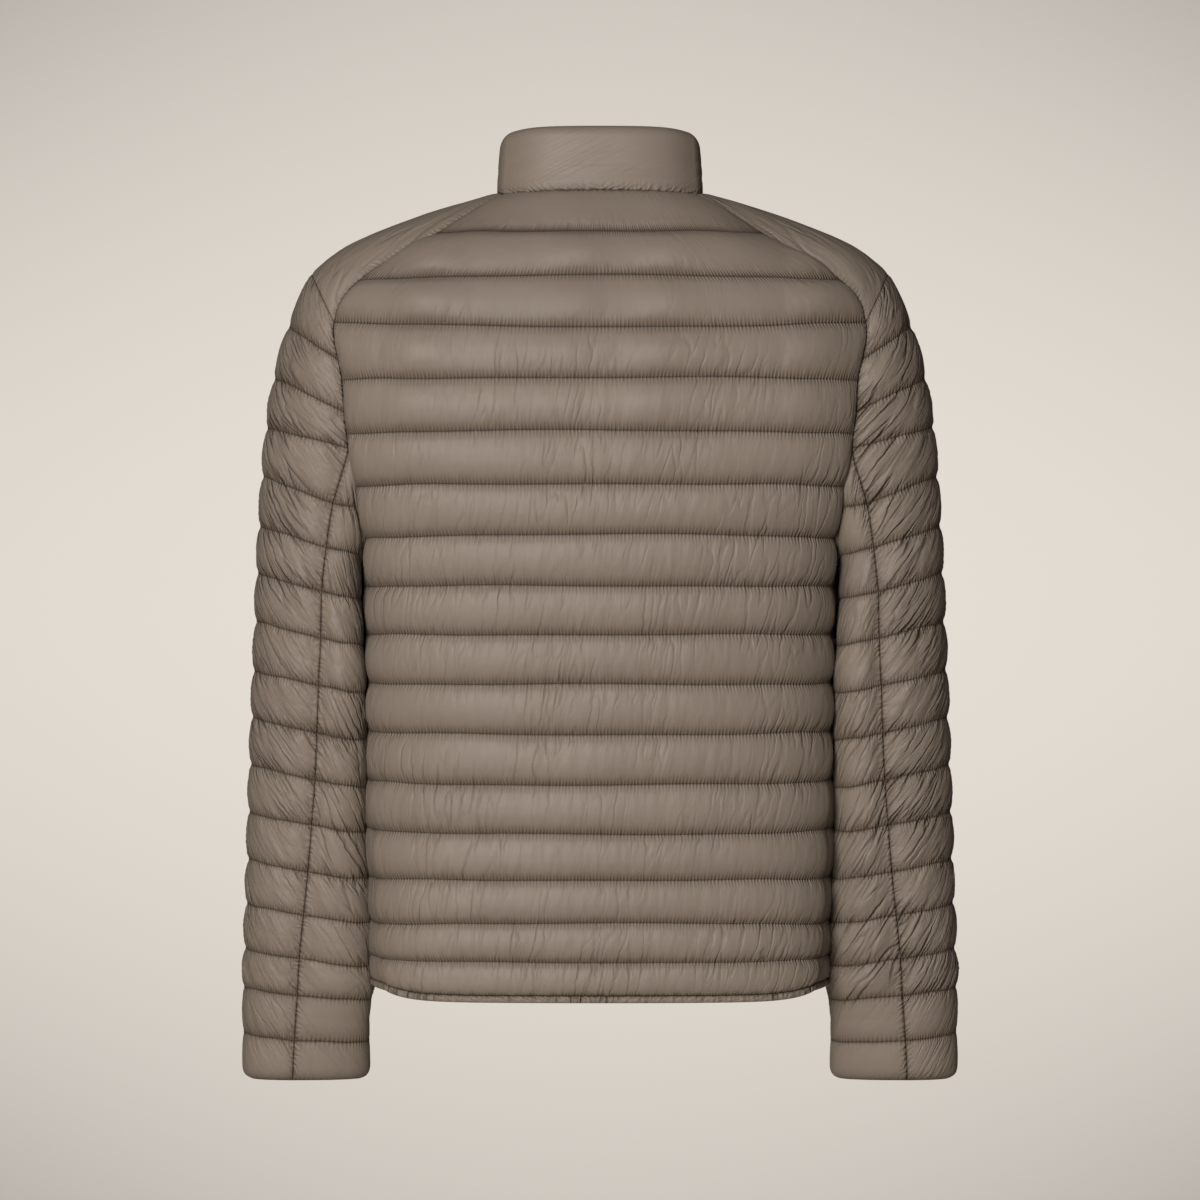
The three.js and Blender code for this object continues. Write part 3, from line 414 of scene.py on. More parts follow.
def inner_sleeve(row, t):
    """The inner side of the sleeve, with rows that follow the armhole at the top."""
    back, front = sleeve_seams(row)
    low = read(LOW, np.maximum(row - SLEEVE_SPLIT, 0))
    inner = place(low["inner_x"], (back[..., 1] + front[..., 1]) / 2, low["inner_z"])
    skew = SLEEVE_SKEW * settled(row - SLEEVE_SPLIT) * settled(CHANNELS - row)
    points = arc(back, inner, front, t, 1, skew)
    first = np.full_like(row, SLEEVE_SPLIT)
    top_back, top_front = sleeve_seams(first)
    middle = place(LOW["inner_x"][0], (top_back[..., 1] + top_front[..., 1]) / 2, LOW["inner_z"][0])
    change = underarm(t + 0 * row) - arc(top_back, middle, top_front, t, 1)
    return points + change * (np.clip(1 - (row - SLEEVE_SPLIT), 0, 1) ** 2)[..., None]


def under_sleeve(row, t):
    """The inner side of the sleeve with level quilt lines, which the armhole cuts off at the top."""
    row, t = np.broadcast_arrays(row, t)
    sag = UNDER_SAG * settled(CHANNELS - row) * np.sin(np.pi * t)
    limit = underarm(t)[..., 2] - UNDERARM_STEP * (row - SLEEVE_SPLIT)
    goal = np.minimum(column(SLEEVE["back_z"], row) - FRONT_LOWER * t - sag, limit)
    above, below = np.full(row.shape, float(SLEEVE_SPLIT)), np.full(row.shape, float(CHANNELS))
    for _ in range(HALVINGS):
        middle_row = (above + below) / 2
        higher = inner_sleeve(middle_row, t)[..., 2] > goal
        above, below = np.where(higher, middle_row, above), np.where(higher, below, middle_row)
    points = inner_sleeve(below, t)
    top = row == SLEEVE_SPLIT
    points[top] = underarm(t)[top]
    return tuck_cuff(points, row)


def rows_between(first, last):
    return np.linspace(first, last, (last - first) * CHANNEL_STEPS + 1)


def even_columns(surface, row):
    """Places across a piece, evenly spaced along one of its rows."""
    fine = np.linspace(0, 1, FINE_STEPS)
    length = run_of(surface(np.full((1, 1), float(row)), fine[None, :])[0])
    count = 2 * round(length[-1] / CLOTH_STEP / 2)
    return np.interp(np.linspace(0, length[-1], count + 1), length, fine)


BODY_ROWS = rows_between(0, CHANNELS)
SIDE_ROWS = rows_between(ARMHOLE_LOW, CHANNELS)
SADDLE_ROWS = rows_between(0, ARMHOLE_TOP)
UNDER_ROWS = rows_between(SLEEVE_SPLIT, CHANNELS)
BACK_T = even_columns(back_surface, COUNT_ROW)
FRONT_T = even_columns(front_surface, COUNT_ROW)
SIDE_T = even_columns(side_surface, SIDE_COUNT_ROW)
OUTER_T = even_columns(outer_sleeve, COUNT_ROW)
UNDER_T = even_columns(under_sleeve, COUNT_ROW)


def channel_shape(row):
    return np.sin(np.pi * (row % 1)) ** CHANNEL_POWER


def body_puff(row, t):
    return BODY_PUFF * channel_shape(row) + 0 * t


def side_puff(row, t):
    return body_puff(row, t) * mix(*PRESSED, settled(row - ARMHOLE_LOW))


def sleeve_puff(row, t):
    return SLEEVE_PUFF * channel_shape(row) * np.where(row > CHANNELS - 2, CUFF_FLATNESS, 1) + 0 * t


def under_puff(row, t):
    freed = settled(row - SLEEVE_SPLIT)
    pressed = mix(1, mix(*PRESSED, freed), np.sin(np.pi * t))
    touch = TOUCH * np.interp(row, TOUCH_ROWS, [0, 1, 1, 0]) * np.sin(np.pi * t ** TOUCH_SHIFT)
    return sleeve_puff(row, t) * mix(UNDERARM_PUFF, 1, freed) * pressed + touch


def saddle_puff(row, t):
    along = np.clip(np.sin(np.pi * row / ARMHOLE_TOP), 0, 1) ** SADDLE_POWERS[0]
    return SADDLE_PUFF * along * np.clip(np.sin(np.pi * t), 0, 1) ** SADDLE_POWERS[1]


# How gathered the cloth is at some rows, from 0, smooth, to 1
BODY_GATHERED = ([0, 2.6, 3.4, 6, 17], [0.03, 0.06, 0.2, 0.3, 0.3])
SLEEVE_GATHERED = ([0, 2, 14.8, 15.2, 17], [0.8, 1.0, 1.0, 0.4, 0.25])
SADDLE_GATHERED = ([0, 3], [0.4, 0.4])
PLAIN_GATHERED = ([0, 2], [0.2, 0.2])
# Small wrinkles of each kind of piece: their slant, sideways for each step down, and strength
WRINKLES = {"sleeve_outer": (0.75, 1.6), "sleeve_under": (-0.55, 1.1), "saddle": (0.4, 2.6),
            "collar": (2.0, 0.6), "hem_binding": (0.0, 14.0), "back": (0.15, 1.5)}
SIDE_BODY = (0.0, 1.6)  # slant and strength on the other pieces of the body


def wrinkles_of(part):
    kind = part["name"].removesuffix("_left").removesuffix("_right")
    return WRINKLES.get(kind, SIDE_BODY)


def stray(row, t, name):
    """Slow waves in the quilt lines, none at a seam."""
    phase = LINE_PHASES[0] * len(name) + LINE_PHASES[1] * np.round(row)
    wave = sum(height * np.sin(turns * t + times * phase) for turns, times, height in LINE_WAVES)
    inside = np.clip(np.minimum(row - row.min(), row.max() - row), 0, 1)
    return WOBBLE * wave * np.clip(LINE_FADE * np.minimum(t, 1 - t), 0, 1) * inside


def piece(name, surface, rows, t, puff, gathered, facing, mirrored=False, armhole_rows=-1, quilted=True):
    """A grid of points on the plain surface, with what its wall and wrinkles are made from."""
    row, across = rows[:, None], t[None, :]
    placed = row + stray(row, across, name) if quilted else row
    base = surface(placed, across + 0 * row)
    base = np.broadcast_to(base, (len(rows), len(t), 3)).copy()
    if mirrored:
        base[..., 0] *= -1
    return {"name": name, "rows": rows, "t": t, "base": base, "puff": puff(row, across),
            "gathered": np.interp(rows, *gathered), "facing": -facing if mirrored else facing,
            "armhole_rows": armhole_rows, "quilted": quilted}


pieces = {"back": piece("back", back_surface, BODY_ROWS, BACK_T, body_puff, BODY_GATHERED, -1)}
for side, mirrored in (("left", False), ("right", True)):
    kinds = {
        "front": (front_surface, BODY_ROWS, FRONT_T, body_puff, BODY_GATHERED, -1),
        "side": (side_surface, SIDE_ROWS, SIDE_T, side_puff, BODY_GATHERED, 1),
        "saddle": (saddle_surface, SADDLE_ROWS, OUTER_T, saddle_puff, SADDLE_GATHERED, 1),
        "sleeve_outer": (outer_sleeve, BODY_ROWS, OUTER_T, sleeve_puff, SLEEVE_GATHERED, 1),
        "sleeve_under": (under_sleeve, UNDER_ROWS, UNDER_T, under_puff, SLEEVE_GATHERED, -1),
    }
    for kind, settings in kinds.items():
        pieces[f"{kind}_{side}"] = piece(f"{kind}_{side}", *settings, mirrored=mirrored)
    pieces[f"sleeve_outer_{side}"]["armhole_rows"] = SLEEVE_SPLIT
    pieces[f"sleeve_under_{side}"]["armhole_rows"] = SLEEVE_SPLIT
    pieces[f"saddle_{side}"]["quilted"] = False


def round_the_body(kinds, pick):
    """A seam all round, from the left front over the back to the right front."""
    parts = [pick("front_left")]
    parts += [pick(f"{kind}_left")[::-1] for kind in kinds]
    parts += [pick("back")]
    parts += [pick(f"{kind}_right") for kind in kinds]
    parts += [pick("front_right")[::-1]]
    return np.vstack([parts[0], *[part[1:] for part in parts[1:]]])


NECK = round_the_body(["saddle"], lambda name: pieces[name]["base"][0])
HEM = round_the_body(["side"], lambda name: pieces[name]["base"][-1])


def collar_surface(row, index):
    seam = NECK[index.astype(int)]
    share = (seam[..., 1] - NECK[0, 1]) / (BODY["back_y"][0] - NECK[0, 1])
    top = COLLAR_FRONT + COLLAR_RISE * share - COLLAR_BOW * share**2
    rise, fold = np.minimum(row, 1), np.maximum(row - 1, 0) * np.pi / 2
    lean = mix(1, COLLAR_LEAN, rise)
    at_zip = np.abs(seam[..., 0]) <= ZIP_HALF + TINY
    x = np.where(at_zip, seam[..., 0], seam[..., 0] * lean)
    points = place(x, seam[..., 1] * lean, mix(seam[..., 2], top - COLLAR_ROLL, rise))
    inward = unit(-seam * (1, 1, 0))
    inward[..., 0] = np.where(np.abs(seam[..., 0]) < 2 * ZIP_HALF, 0, inward[..., 0])
    points = points + inward * (ROLL_DEPTH * COLLAR_ROLL * (1 - np.cos(fold)))[..., None]
    points[..., 2] += COLLAR_ROLL * np.sin(fold)
    return points


# Soft creases of the collar: height on the stand, where along it, half length, depth in mm
COLLAR_CREASES = table(
    "height along reach depth",
    (0.30, 0.40, 0.07, 1.1),
    (0.34, 0.60, 0.10, 1.3),
    (0.52, 0.50, 0.12, 0.9),
    (0.60, 0.36, 0.05, 0.7),
    (0.66, 0.66, 0.06, 0.8),
    (0.45, 0.20, 0.08, 1.0),
    (0.40, 0.82, 0.09, 1.0),
    (0.75, 0.52, 0.08, 0.5),
)
CREASE_SLANT, CREASE_WIDTH = 0.5, 0.07
COLLAR_POWER, COLLAR_LAST = 0.6, 1.999  # rise of the puff, and the row that it is read at in the end
GATHER_DEPTH, GATHER_REACH, GATHER_FADE = 0.3, 0.08, 0.2
GATHER_WAVES = (620, 5, 57)


def uneven_waves(at, fast, sway, slow):
    return np.sin(at * fast + sway * np.sin(at * slow))


def collar_puff(row, index):
    along = index / (len(NECK) - 1)
    puff = COLLAR_PUFF * np.sin(np.pi * np.clip(row, 0, COLLAR_LAST) / 2) ** COLLAR_POWER + 0 * along
    for height, at, reach, depth in zip(*COLLAR_CREASES.values()):
        slant = height + CREASE_SLANT * (along - at)
        puff = puff - depth * np.exp(-((row - slant) / CREASE_WIDTH) ** 2 - ((along - at) / reach) ** 2)
    gathers = GATHER_DEPTH * uneven_waves(along, *GATHER_WAVES) * np.exp(-row / GATHER_REACH)
    return puff + gathers * np.sin(np.pi * along) ** GATHER_FADE


def binding_surface(row, index):
    points = HEM[index.astype(int)]
    points[..., 2] -= row * BINDING_HEIGHT
    return points


def binding_puff(row, index):
    return (BINDING_PUFF + RIB_DEPTH * uneven_waves(index, *RIB_WAVES)) * np.sqrt(np.sin(np.pi * row))


pieces["collar"] = piece("collar", collar_surface, np.linspace(0, 2, COLLAR_STEPS), np.arange(len(NECK)),
                         collar_puff, PLAIN_GATHERED, 1, quilted=False)
pieces["hem_binding"] = piece("hem_binding", binding_surface, np.linspace(0, 1, BINDING_STEPS),
                              np.arange(len(HEM)), binding_puff, PLAIN_GATHERED, -1, quilted=False)


def grid_normals(part):
    base = part["base"]
    across = np.gradient(base, axis=1)
    down = np.gradient(base, axis=0)
    return unit(np.cross(across, down)) * part["facing"]


def step_lengths(grid, axis):
    return np.linalg.norm(np.diff(grid, axis=axis), axis=-1)


def border(shape):
    edge = np.zeros(shape, bool)
    edge[[0, -1], :] = True
    edge[:, [0, -1]] = True
    return edge


def share_seam_normals(parts):
    """Pieces that meet at a seam point share its normal there."""
    shared = {}
    for part in parts:
        part["normals"] = grid_normals(part)
    for part in parts:
        edge = border(part["base"].shape[:2])
        part["keys"] = [tuple(key) for key in np.round(part["base"][edge] * SNAP).astype(int)]
        for key, normal in zip(part["keys"], part["normals"][edge]):
            shared[key] = shared.get(key, 0) + normal
    for part in parts:
        edge = border(part["base"].shape[:2])
        part["normals"][edge] = unit(np.array([shared[key] for key in part["keys"]]))


share_seam_normals(list(pieces.values()))


def taper(part):
    """How much of its puff a point keeps, from its distance to the nearer side seam."""
    before = np.pad(step_lengths(part["base"], 1).cumsum(axis=1), ((0, 0), (1, 0)))
    part["along"] = before.mean(0)
    near = np.minimum(before, before[:, -1:] - before)
    return np.sqrt(1 - (1 - np.clip(near / PUFF_TAPER, 0, 1)) ** 2)


def inset(part):
    """Points on a seam move back from it by half of its gap."""
    base = part["base"].copy()
    gap = np.where(part["rows"] <= part["armhole_rows"], ARMHOLE_GAP, SEAM_GAP)[:, None] / 2
    top = (ARMHOLE_GAP if part["name"].startswith("sleeve_under") else SEAM_GAP) / 2
    source = part["base"]
    first_gap = -ZIP_LAP if part["name"].startswith(("front", "hem")) else gap
    last_gap = -ZIP_LAP if part["name"].startswith("hem") else gap
    base[:, 0] += unit(source[:, 1] - source[:, 0]) * first_gap
    base[:, -1] += unit(source[:, -2] - source[:, -1]) * last_gap
    base[0] += unit(source[1] - source[0]) * top
    base[-1] += unit(source[-2] - source[-1]) * SEAM_GAP / 2
    return base


def grid_faces(height, width, flip):
    index = np.arange(height * width).reshape(height, width)
    corners = [index[:-1, :-1], index[:-1, 1:], index[1:, 1:], index[1:, :-1]]
    faces = np.stack(corners, -1).reshape(-1, 4)
    return faces[:, ::-1] if flip else faces


# Settings of the cloth simulation: light cloth that bends and folds easily
CLOTH = {
    "quality": 4, "mass": 0.1, "air_damping": 3, "vertex_group_mass": "pinned",
    "tension_stiffness": 30, "compression_stiffness": 10, "shear_stiffness": 3, "bending_stiffness": 0.01,
    "tension_damping": 3, "compression_damping": 3, "shear_damping": 3, "bending_damping": 0.5,
    "shrink_min": -SPARE_CLOTH, "shrink_max": -SPARE_CLOTH,
    "use_pressure": True, "uniform_pressure_force": PRESSURE,
}


def add_object(name, data):
    made = bpy.data.objects.new(name, data)
    bpy.context.scene.collection.objects.link(made)
    return made


def simulate(part, start, pins, seed):
    """Blows the cloth up between its pinned seams and quilt lines, with a little cloth to spare."""
    height, width = pins.shape
    rng = np.random.default_rng(seed)
    loose = ~pins[..., None]
    start = start + START_NOISE * rng.normal(size=start.shape) * loose
    faces = grid_faces(height, width, part["facing"] < 0)
    mesh = bpy.data.meshes.new("cloth")
    mesh.from_pydata((start.reshape(-1, 3) * MM).tolist(), [], faces.tolist())
    cloth = add_object("cloth", mesh)
    pinned = cloth.vertex_groups.new(name="pinned")
    pinned.add(np.flatnonzero(pins).tolist(), 1.0, "REPLACE")
    modifier = cloth.modifiers.new("cloth", "CLOTH")
    for key, value in CLOTH.items():
        setattr(modifier.settings, key, value)
    modifier.settings.effector_weights.gravity = 0
    modifier.collision_settings.use_collision = False
    for step in range(1, FRAMES + 1):
        bpy.context.scene.frame_set(step)
    shown = cloth.evaluated_get(bpy.context.evaluated_depsgraph_get())
    points = np.zeros(height * width * 3)
    shown.data.vertices.foreach_get("co", points)
    bpy.data.objects.remove(cloth)
    bpy.data.meshes.remove(mesh)
    bpy.context.scene.frame_set(1)
    return points.reshape(height, width, 3) / MM


def smooth_along(values, reach):
    """Running mean along each row, with its ends mirrored."""
    padded = np.pad(values, ((0, 0), (reach, reach)), mode="reflect")
    total = np.cumsum(np.pad(padded, ((0, 0), (1, 0))), axis=1)
    width = 2 * reach + 1
    return (total[:, width:] - total[:, :-width]) / width


def drawn_out(values, slant):
    """Mean of the wrinkles along their slant, which makes folds of them."""
    columns = np.arange(values.shape[1])
    steps = range(-FOLD_ROWS, FOLD_ROWS + 1)
    total = np.zeros_like(values)
    for step in steps:
        move = slant * ROW_STEP / CLOTH_STEP * step
        shifted = np.roll(values, step, axis=0)
        total += np.array([np.interp(columns + move, columns, line) for line in shifted])
    return total / len(steps)


def soft_folds(part):
    """Broad folds that run down the upper back, in millimetres."""
    if part["name"] != "back":
        return 0.0
    x, z = part["base"][..., 0], part["base"][..., 2]
    folds = sum(height * np.sin(x / across + z / down + start) for across, down, start, height in FOLDS)
    fade = np.interp(part["rows"], *FOLD_FADE)[:, None]
    filled = part["puff"] / part["puff"].max()
    return FOLD_DEPTH * np.maximum(folds, FOLD_FLOOR) * fade * filled * taper(part)


def pad(part, seed):
    """The outer face of a piece: its plain puff, with the wrinkles of the simulated cloth."""
    base, normals = inset(part), part["normals"]
    puff = part["puff"] * taper(part)
    plain = base + normals * (puff + soft_folds(part))[..., None]
    if part["name"] in ("collar", "hem_binding"):
        return plain
    pins = border(base.shape[:2])
    if part["quilted"]:
        pins[np.isclose(part["rows"] % 1, 0), :] = True
    start = base + normals * (START_PUFF * puff)[..., None]
    moved = simulate(part, start, pins, seed) - base
    rise = (moved * normals).sum(-1)
    aside = moved - normals * rise[..., None]
    reach = min(FOLD_REACH, (base.shape[1] - 1) // 2)
    wrinkles = np.clip(rise - smooth_along(rise, reach), -WRINKLE_LIMIT, WRINKLE_LIMIT)
    wrinkles = FOLD_GAIN * drawn_out(wrinkles, wrinkles_of(part)[0])
    room = np.clip(puff / (ROOM_SHARE * part["puff"].max()), 0, 1)
    wrinkles *= room * (WRINKLE_GAIN * part["gathered"])[:, None]
    aside *= np.minimum(1, ASIDE_LIMIT / np.maximum(np.linalg.norm(aside, axis=-1, keepdims=True), TINY))
    return plain + normals * wrinkles[..., None] + aside * room[..., None]


def refine(grid):
    """Twice as many points each way, on smooth curves through the old ones."""
    for axis in (0, 1):
        grid = np.swapaxes(grid, 0, axis)
        ends = np.concatenate([2 * grid[:1] - grid[1:2], grid, 2 * grid[-1:] - grid[-2:-1]])
        middle = (9 * (ends[1:-2] + ends[2:-1]) - ends[:-3] - ends[3:]) / 16
        finer = np.empty((2 * len(grid) - 1, *grid.shape[1:]))
        finer[::2], finer[1::2] = grid, middle
        grid = np.swapaxes(finer, 0, axis)
    return grid


def strip(fine, coarse, flip):
    """Triangles that join a fine edge to a coarse one."""
    ratio = (len(fine) - 1) // (len(coarse) - 1)
    faces = []
    for index in range(len(coarse) - 1):
        start, half = index * ratio, index * ratio + ratio // 2
        for step in range(start, start + ratio):
            faces.append((fine[step], fine[step + 1], coarse[index + (step >= half)]))
        faces.append((fine[half], coarse[index + 1], coarse[index]))
    return [face[::-1] for face in faces] if flip else faces


def new_mesh(name, points, faces, material, maps=()):
    mesh = bpy.data.meshes.new(name)
    mesh.from_pydata((np.asarray(points) * MM).tolist(), [], [tuple(face) for face in faces])
    mesh.polygons.foreach_set("use_smooth", [True] * len(mesh.polygons))
    corners = np.empty(len(mesh.loops), int)
    mesh.loops.foreach_get("vertex_index", corners)
    for layer_name, values in maps:
        layer = mesh.uv_layers.new(name=layer_name)
        layer.data.foreach_set("uv", values[corners].ravel())
    mesh.materials.append(material)
    mesh.update()
    return add_object(name, mesh)


def cloth_maps(part, fine, stride, inner_count):
    """Maps for the material: place on the cloth, kind of wrinkle, and distance to a seam."""
    outer_count = fine.shape[0] * fine.shape[1]
    row = refine(np.repeat(part["rows"][:, None, None], len(part["t"]), 1))[..., 0]
    along = refine(np.repeat(part["along"][None, :, None], len(part["rows"]), 0))[..., 0]
    cloth = np.full((outer_count + inner_count, 2), MID_CHANNEL)
    cloth[:outer_count, 0] = along.ravel() * MM
    cloth[outer_count:, 0] = along[::2 * stride, ::2 * stride].ravel() * MM
    cloth[:, 0] += PIECE_SHIFT * list(pieces).index(part["name"])
    if part["quilted"]:
        cloth[:outer_count, 1] = row.ravel()
    slant, strength = wrinkles_of(part)
    wrinkle = np.zeros_like(cloth)
    wrinkle[:outer_count, 0] = strength * np.interp(row, part["rows"], part["gathered"]).ravel()
    wrinkle[:, 1] = slant
    from_start = np.pad(step_lengths(fine, 1).cumsum(axis=1), ((0, 0), (1, 0)))
    to_seam = np.minimum(from_start, from_start[:, -1:] - from_start)
    if not part["quilted"]:
        to_seam = np.minimum(to_seam, np.pad(step_lengths(fine, 0).cumsum(axis=0), ((1, 0), (0, 0))))
    seam = np.ones_like(cloth)
    seam[:outer_count, 0] = to_seam.ravel() * MM
    return [("cloth", cloth), ("wrinkle", wrinkle), ("seam", seam)]


def wall_mesh(part, outer, material):
    """A closed wall of a fine outer face, a plain inner face and the strips between them."""
    fine = refine(outer)
    stride = 2 if len(part["rows"]) % 2 and len(part["t"]) % 2 else 1
    inner = (inset(part) - part["normals"] * WALL)[::stride, ::stride]
    flip = part["facing"] < 0
    outside = np.arange(fine.shape[0] * fine.shape[1]).reshape(fine.shape[:2])
    inside = np.arange(inner.shape[0] * inner.shape[1]).reshape(inner.shape[:2]) + outside.size
    faces = grid_faces(*fine.shape[:2], flip).tolist()
    faces += (grid_faces(*inner.shape[:2], not flip) + outside.size).tolist()
    faces += strip(outside[0], inside[0], not flip)
    faces += strip(outside[-1], inside[-1], flip)
    faces += strip(outside[:, 0], inside[:, 0], flip)
    faces += strip(outside[:, -1], inside[:, -1], not flip)
    part["fine"] = fine
    points = np.vstack([fine.reshape(-1, 3), inner.reshape(-1, 3)])
    return new_mesh(part["name"], points, faces, material, cloth_maps(part, fine, stride, inside.size))


# Materials. Lengths and depths of the fine relief are in metres.
MID_CHANNEL = 0.5  # the row that stands for plain cloth, far from a quilt line
PUCKER_PITCH = 0.0028
PUCKER_DEPTH, SHORT_DEPTH = 0.00045, 0.0011
BROAD_DEPTH, MEDIUM_DEPTH, CREASE_DEPTH = 0.0026, 0.0012, 0.0022
WEAVE_DEPTH, WEAVE_SCALE = 0.000012, 620.0
SEAM_REACH, SEAM_PITCH, SEAM_DEPTH = 0.009, 0.0052, 0.0004
SEAM_SLANT = 0.7  # share of a seam's sideways run in its puckers
PUCKER_DRIFT, SEAM_DRIFT = 6.0, 25.0  # unevenness of the puckers
LINE_POWERS = (3.0, 6.0, 30.0)  # fading of short wrinkles, of puckers and their painted shade, and of the line of painted shade in the groove
SEAM_POWERS = (1.6, 14.0)  # fading of a seam's puckers and their painted shade, and of the seam's line of painted shade in the groove
MIDDLE_SHARE = 0.45  # wrinkles in mid channel, against 1 at a line
CREASE_SHARPNESS = 14.0
# painted shade in the creases
CREASE_SHADE = 0.22
LOW_SHADE, LOW_POWER = 0.68, 3.5  # painted shade, darkening the lower part of each channel towards the quilt line below it
PUCKER_SHADES = (0.4, -0.38)  # even and alternating painted shade at a quilt line
SEAM_SHADES = (0.3, -0.2)  # and painted shade at a seam
PATCH_START, PATCH_GAIN = 0.38, 4.0  # creases show where a noise is above the first
ROUGHNESS, ROUGHNESS_SPAN = 0.46, 0.14
# Noise of each kind of wrinkle: waves a metre, stretch along the wrinkle, detail, pattern
STREAKS = {"broad": (95.0, 0.22, 3.0, 0.0), "medium": (230.0, 0.20, 3.0, 3.0),
           "crease": (90.0, 0.17, 1.5, 7.0), "short": (330.0, 0.25, 2.0, 11.0)}
# Other noises: scale and detail
PATCHES, DRIFT, CLOUDS = (16.0, 1.0), (60.0, 2.0), (14.0, 3.0)
SHELL_FINISH = {"Specular IOR Level": 0.32, "Sheen Weight": 0.05, "Sheen Roughness": 0.45,
                "Sheen Tint": (0.85, 0.78, 0.70, 1)}
SHELL_LIGHT = (0.266, 0.220, 0.181, 1)
SHELL_DARK = (0.205, 0.166, 0.136, 1)
# colour of the painted shade
SHELL_SHADE = (0.112, 0.080, 0.057, 1)
# colour of the painted shade in the grooves of the quilt lines and seams
SHELL_GROOVE_SHADE = (0.050, 0.034, 0.024, 1)


def node(tree, kind, inputs=(), **settings):
    made = tree.nodes.new(f"ShaderNode{kind}")
    for key, value in settings.items():
        setattr(made, key, value)
    for key, value in dict(inputs).items():
        if hasattr(value, "is_output"):
            tree.links.new(value, made.inputs[key])
        else:
            made.inputs[key].default_value = value
    return made


def arithmetic(tree, *operations):
    """A function for each operation, which makes a node of it and returns its output."""
    def maker(operation):
        def made(first, second=0.0):
            return node(tree, "Math", {0: first, 1: second}, operation=operation).outputs[0]
        return made
    return [maker(operation) for operation in operations]


def new_material(name, roughness, metallic=0.0):
    material = bpy.data.materials.new(name)
    material.use_nodes = True
    shader = material.node_tree.nodes["Principled BSDF"]
    shader.inputs["Roughness"].default_value = roughness
    shader.inputs["Metallic"].default_value = metallic
    return material, material.node_tree, shader


def blend(tree, amount, first, second):
    """A mix of two colours, each a value or the output of another node."""
    return node(tree, "Mix", {0: amount, 6: first, 7: second}, data_type="RGBA").outputs[2]


def noise(tree, spot, scale, detail, **settings):
    inputs = {"Vector": spot, "Scale": scale, "Detail": detail, **settings}
    return node(tree, "TexNoise", inputs).outputs["Fac"]


def set_relief(tree, shader, height, strength, distance):
    bump = node(tree, "Bump", {"Height": height, "Strength": strength, "Distance": distance})
    tree.links.new(bump.outputs[0], shader.inputs["Normal"])


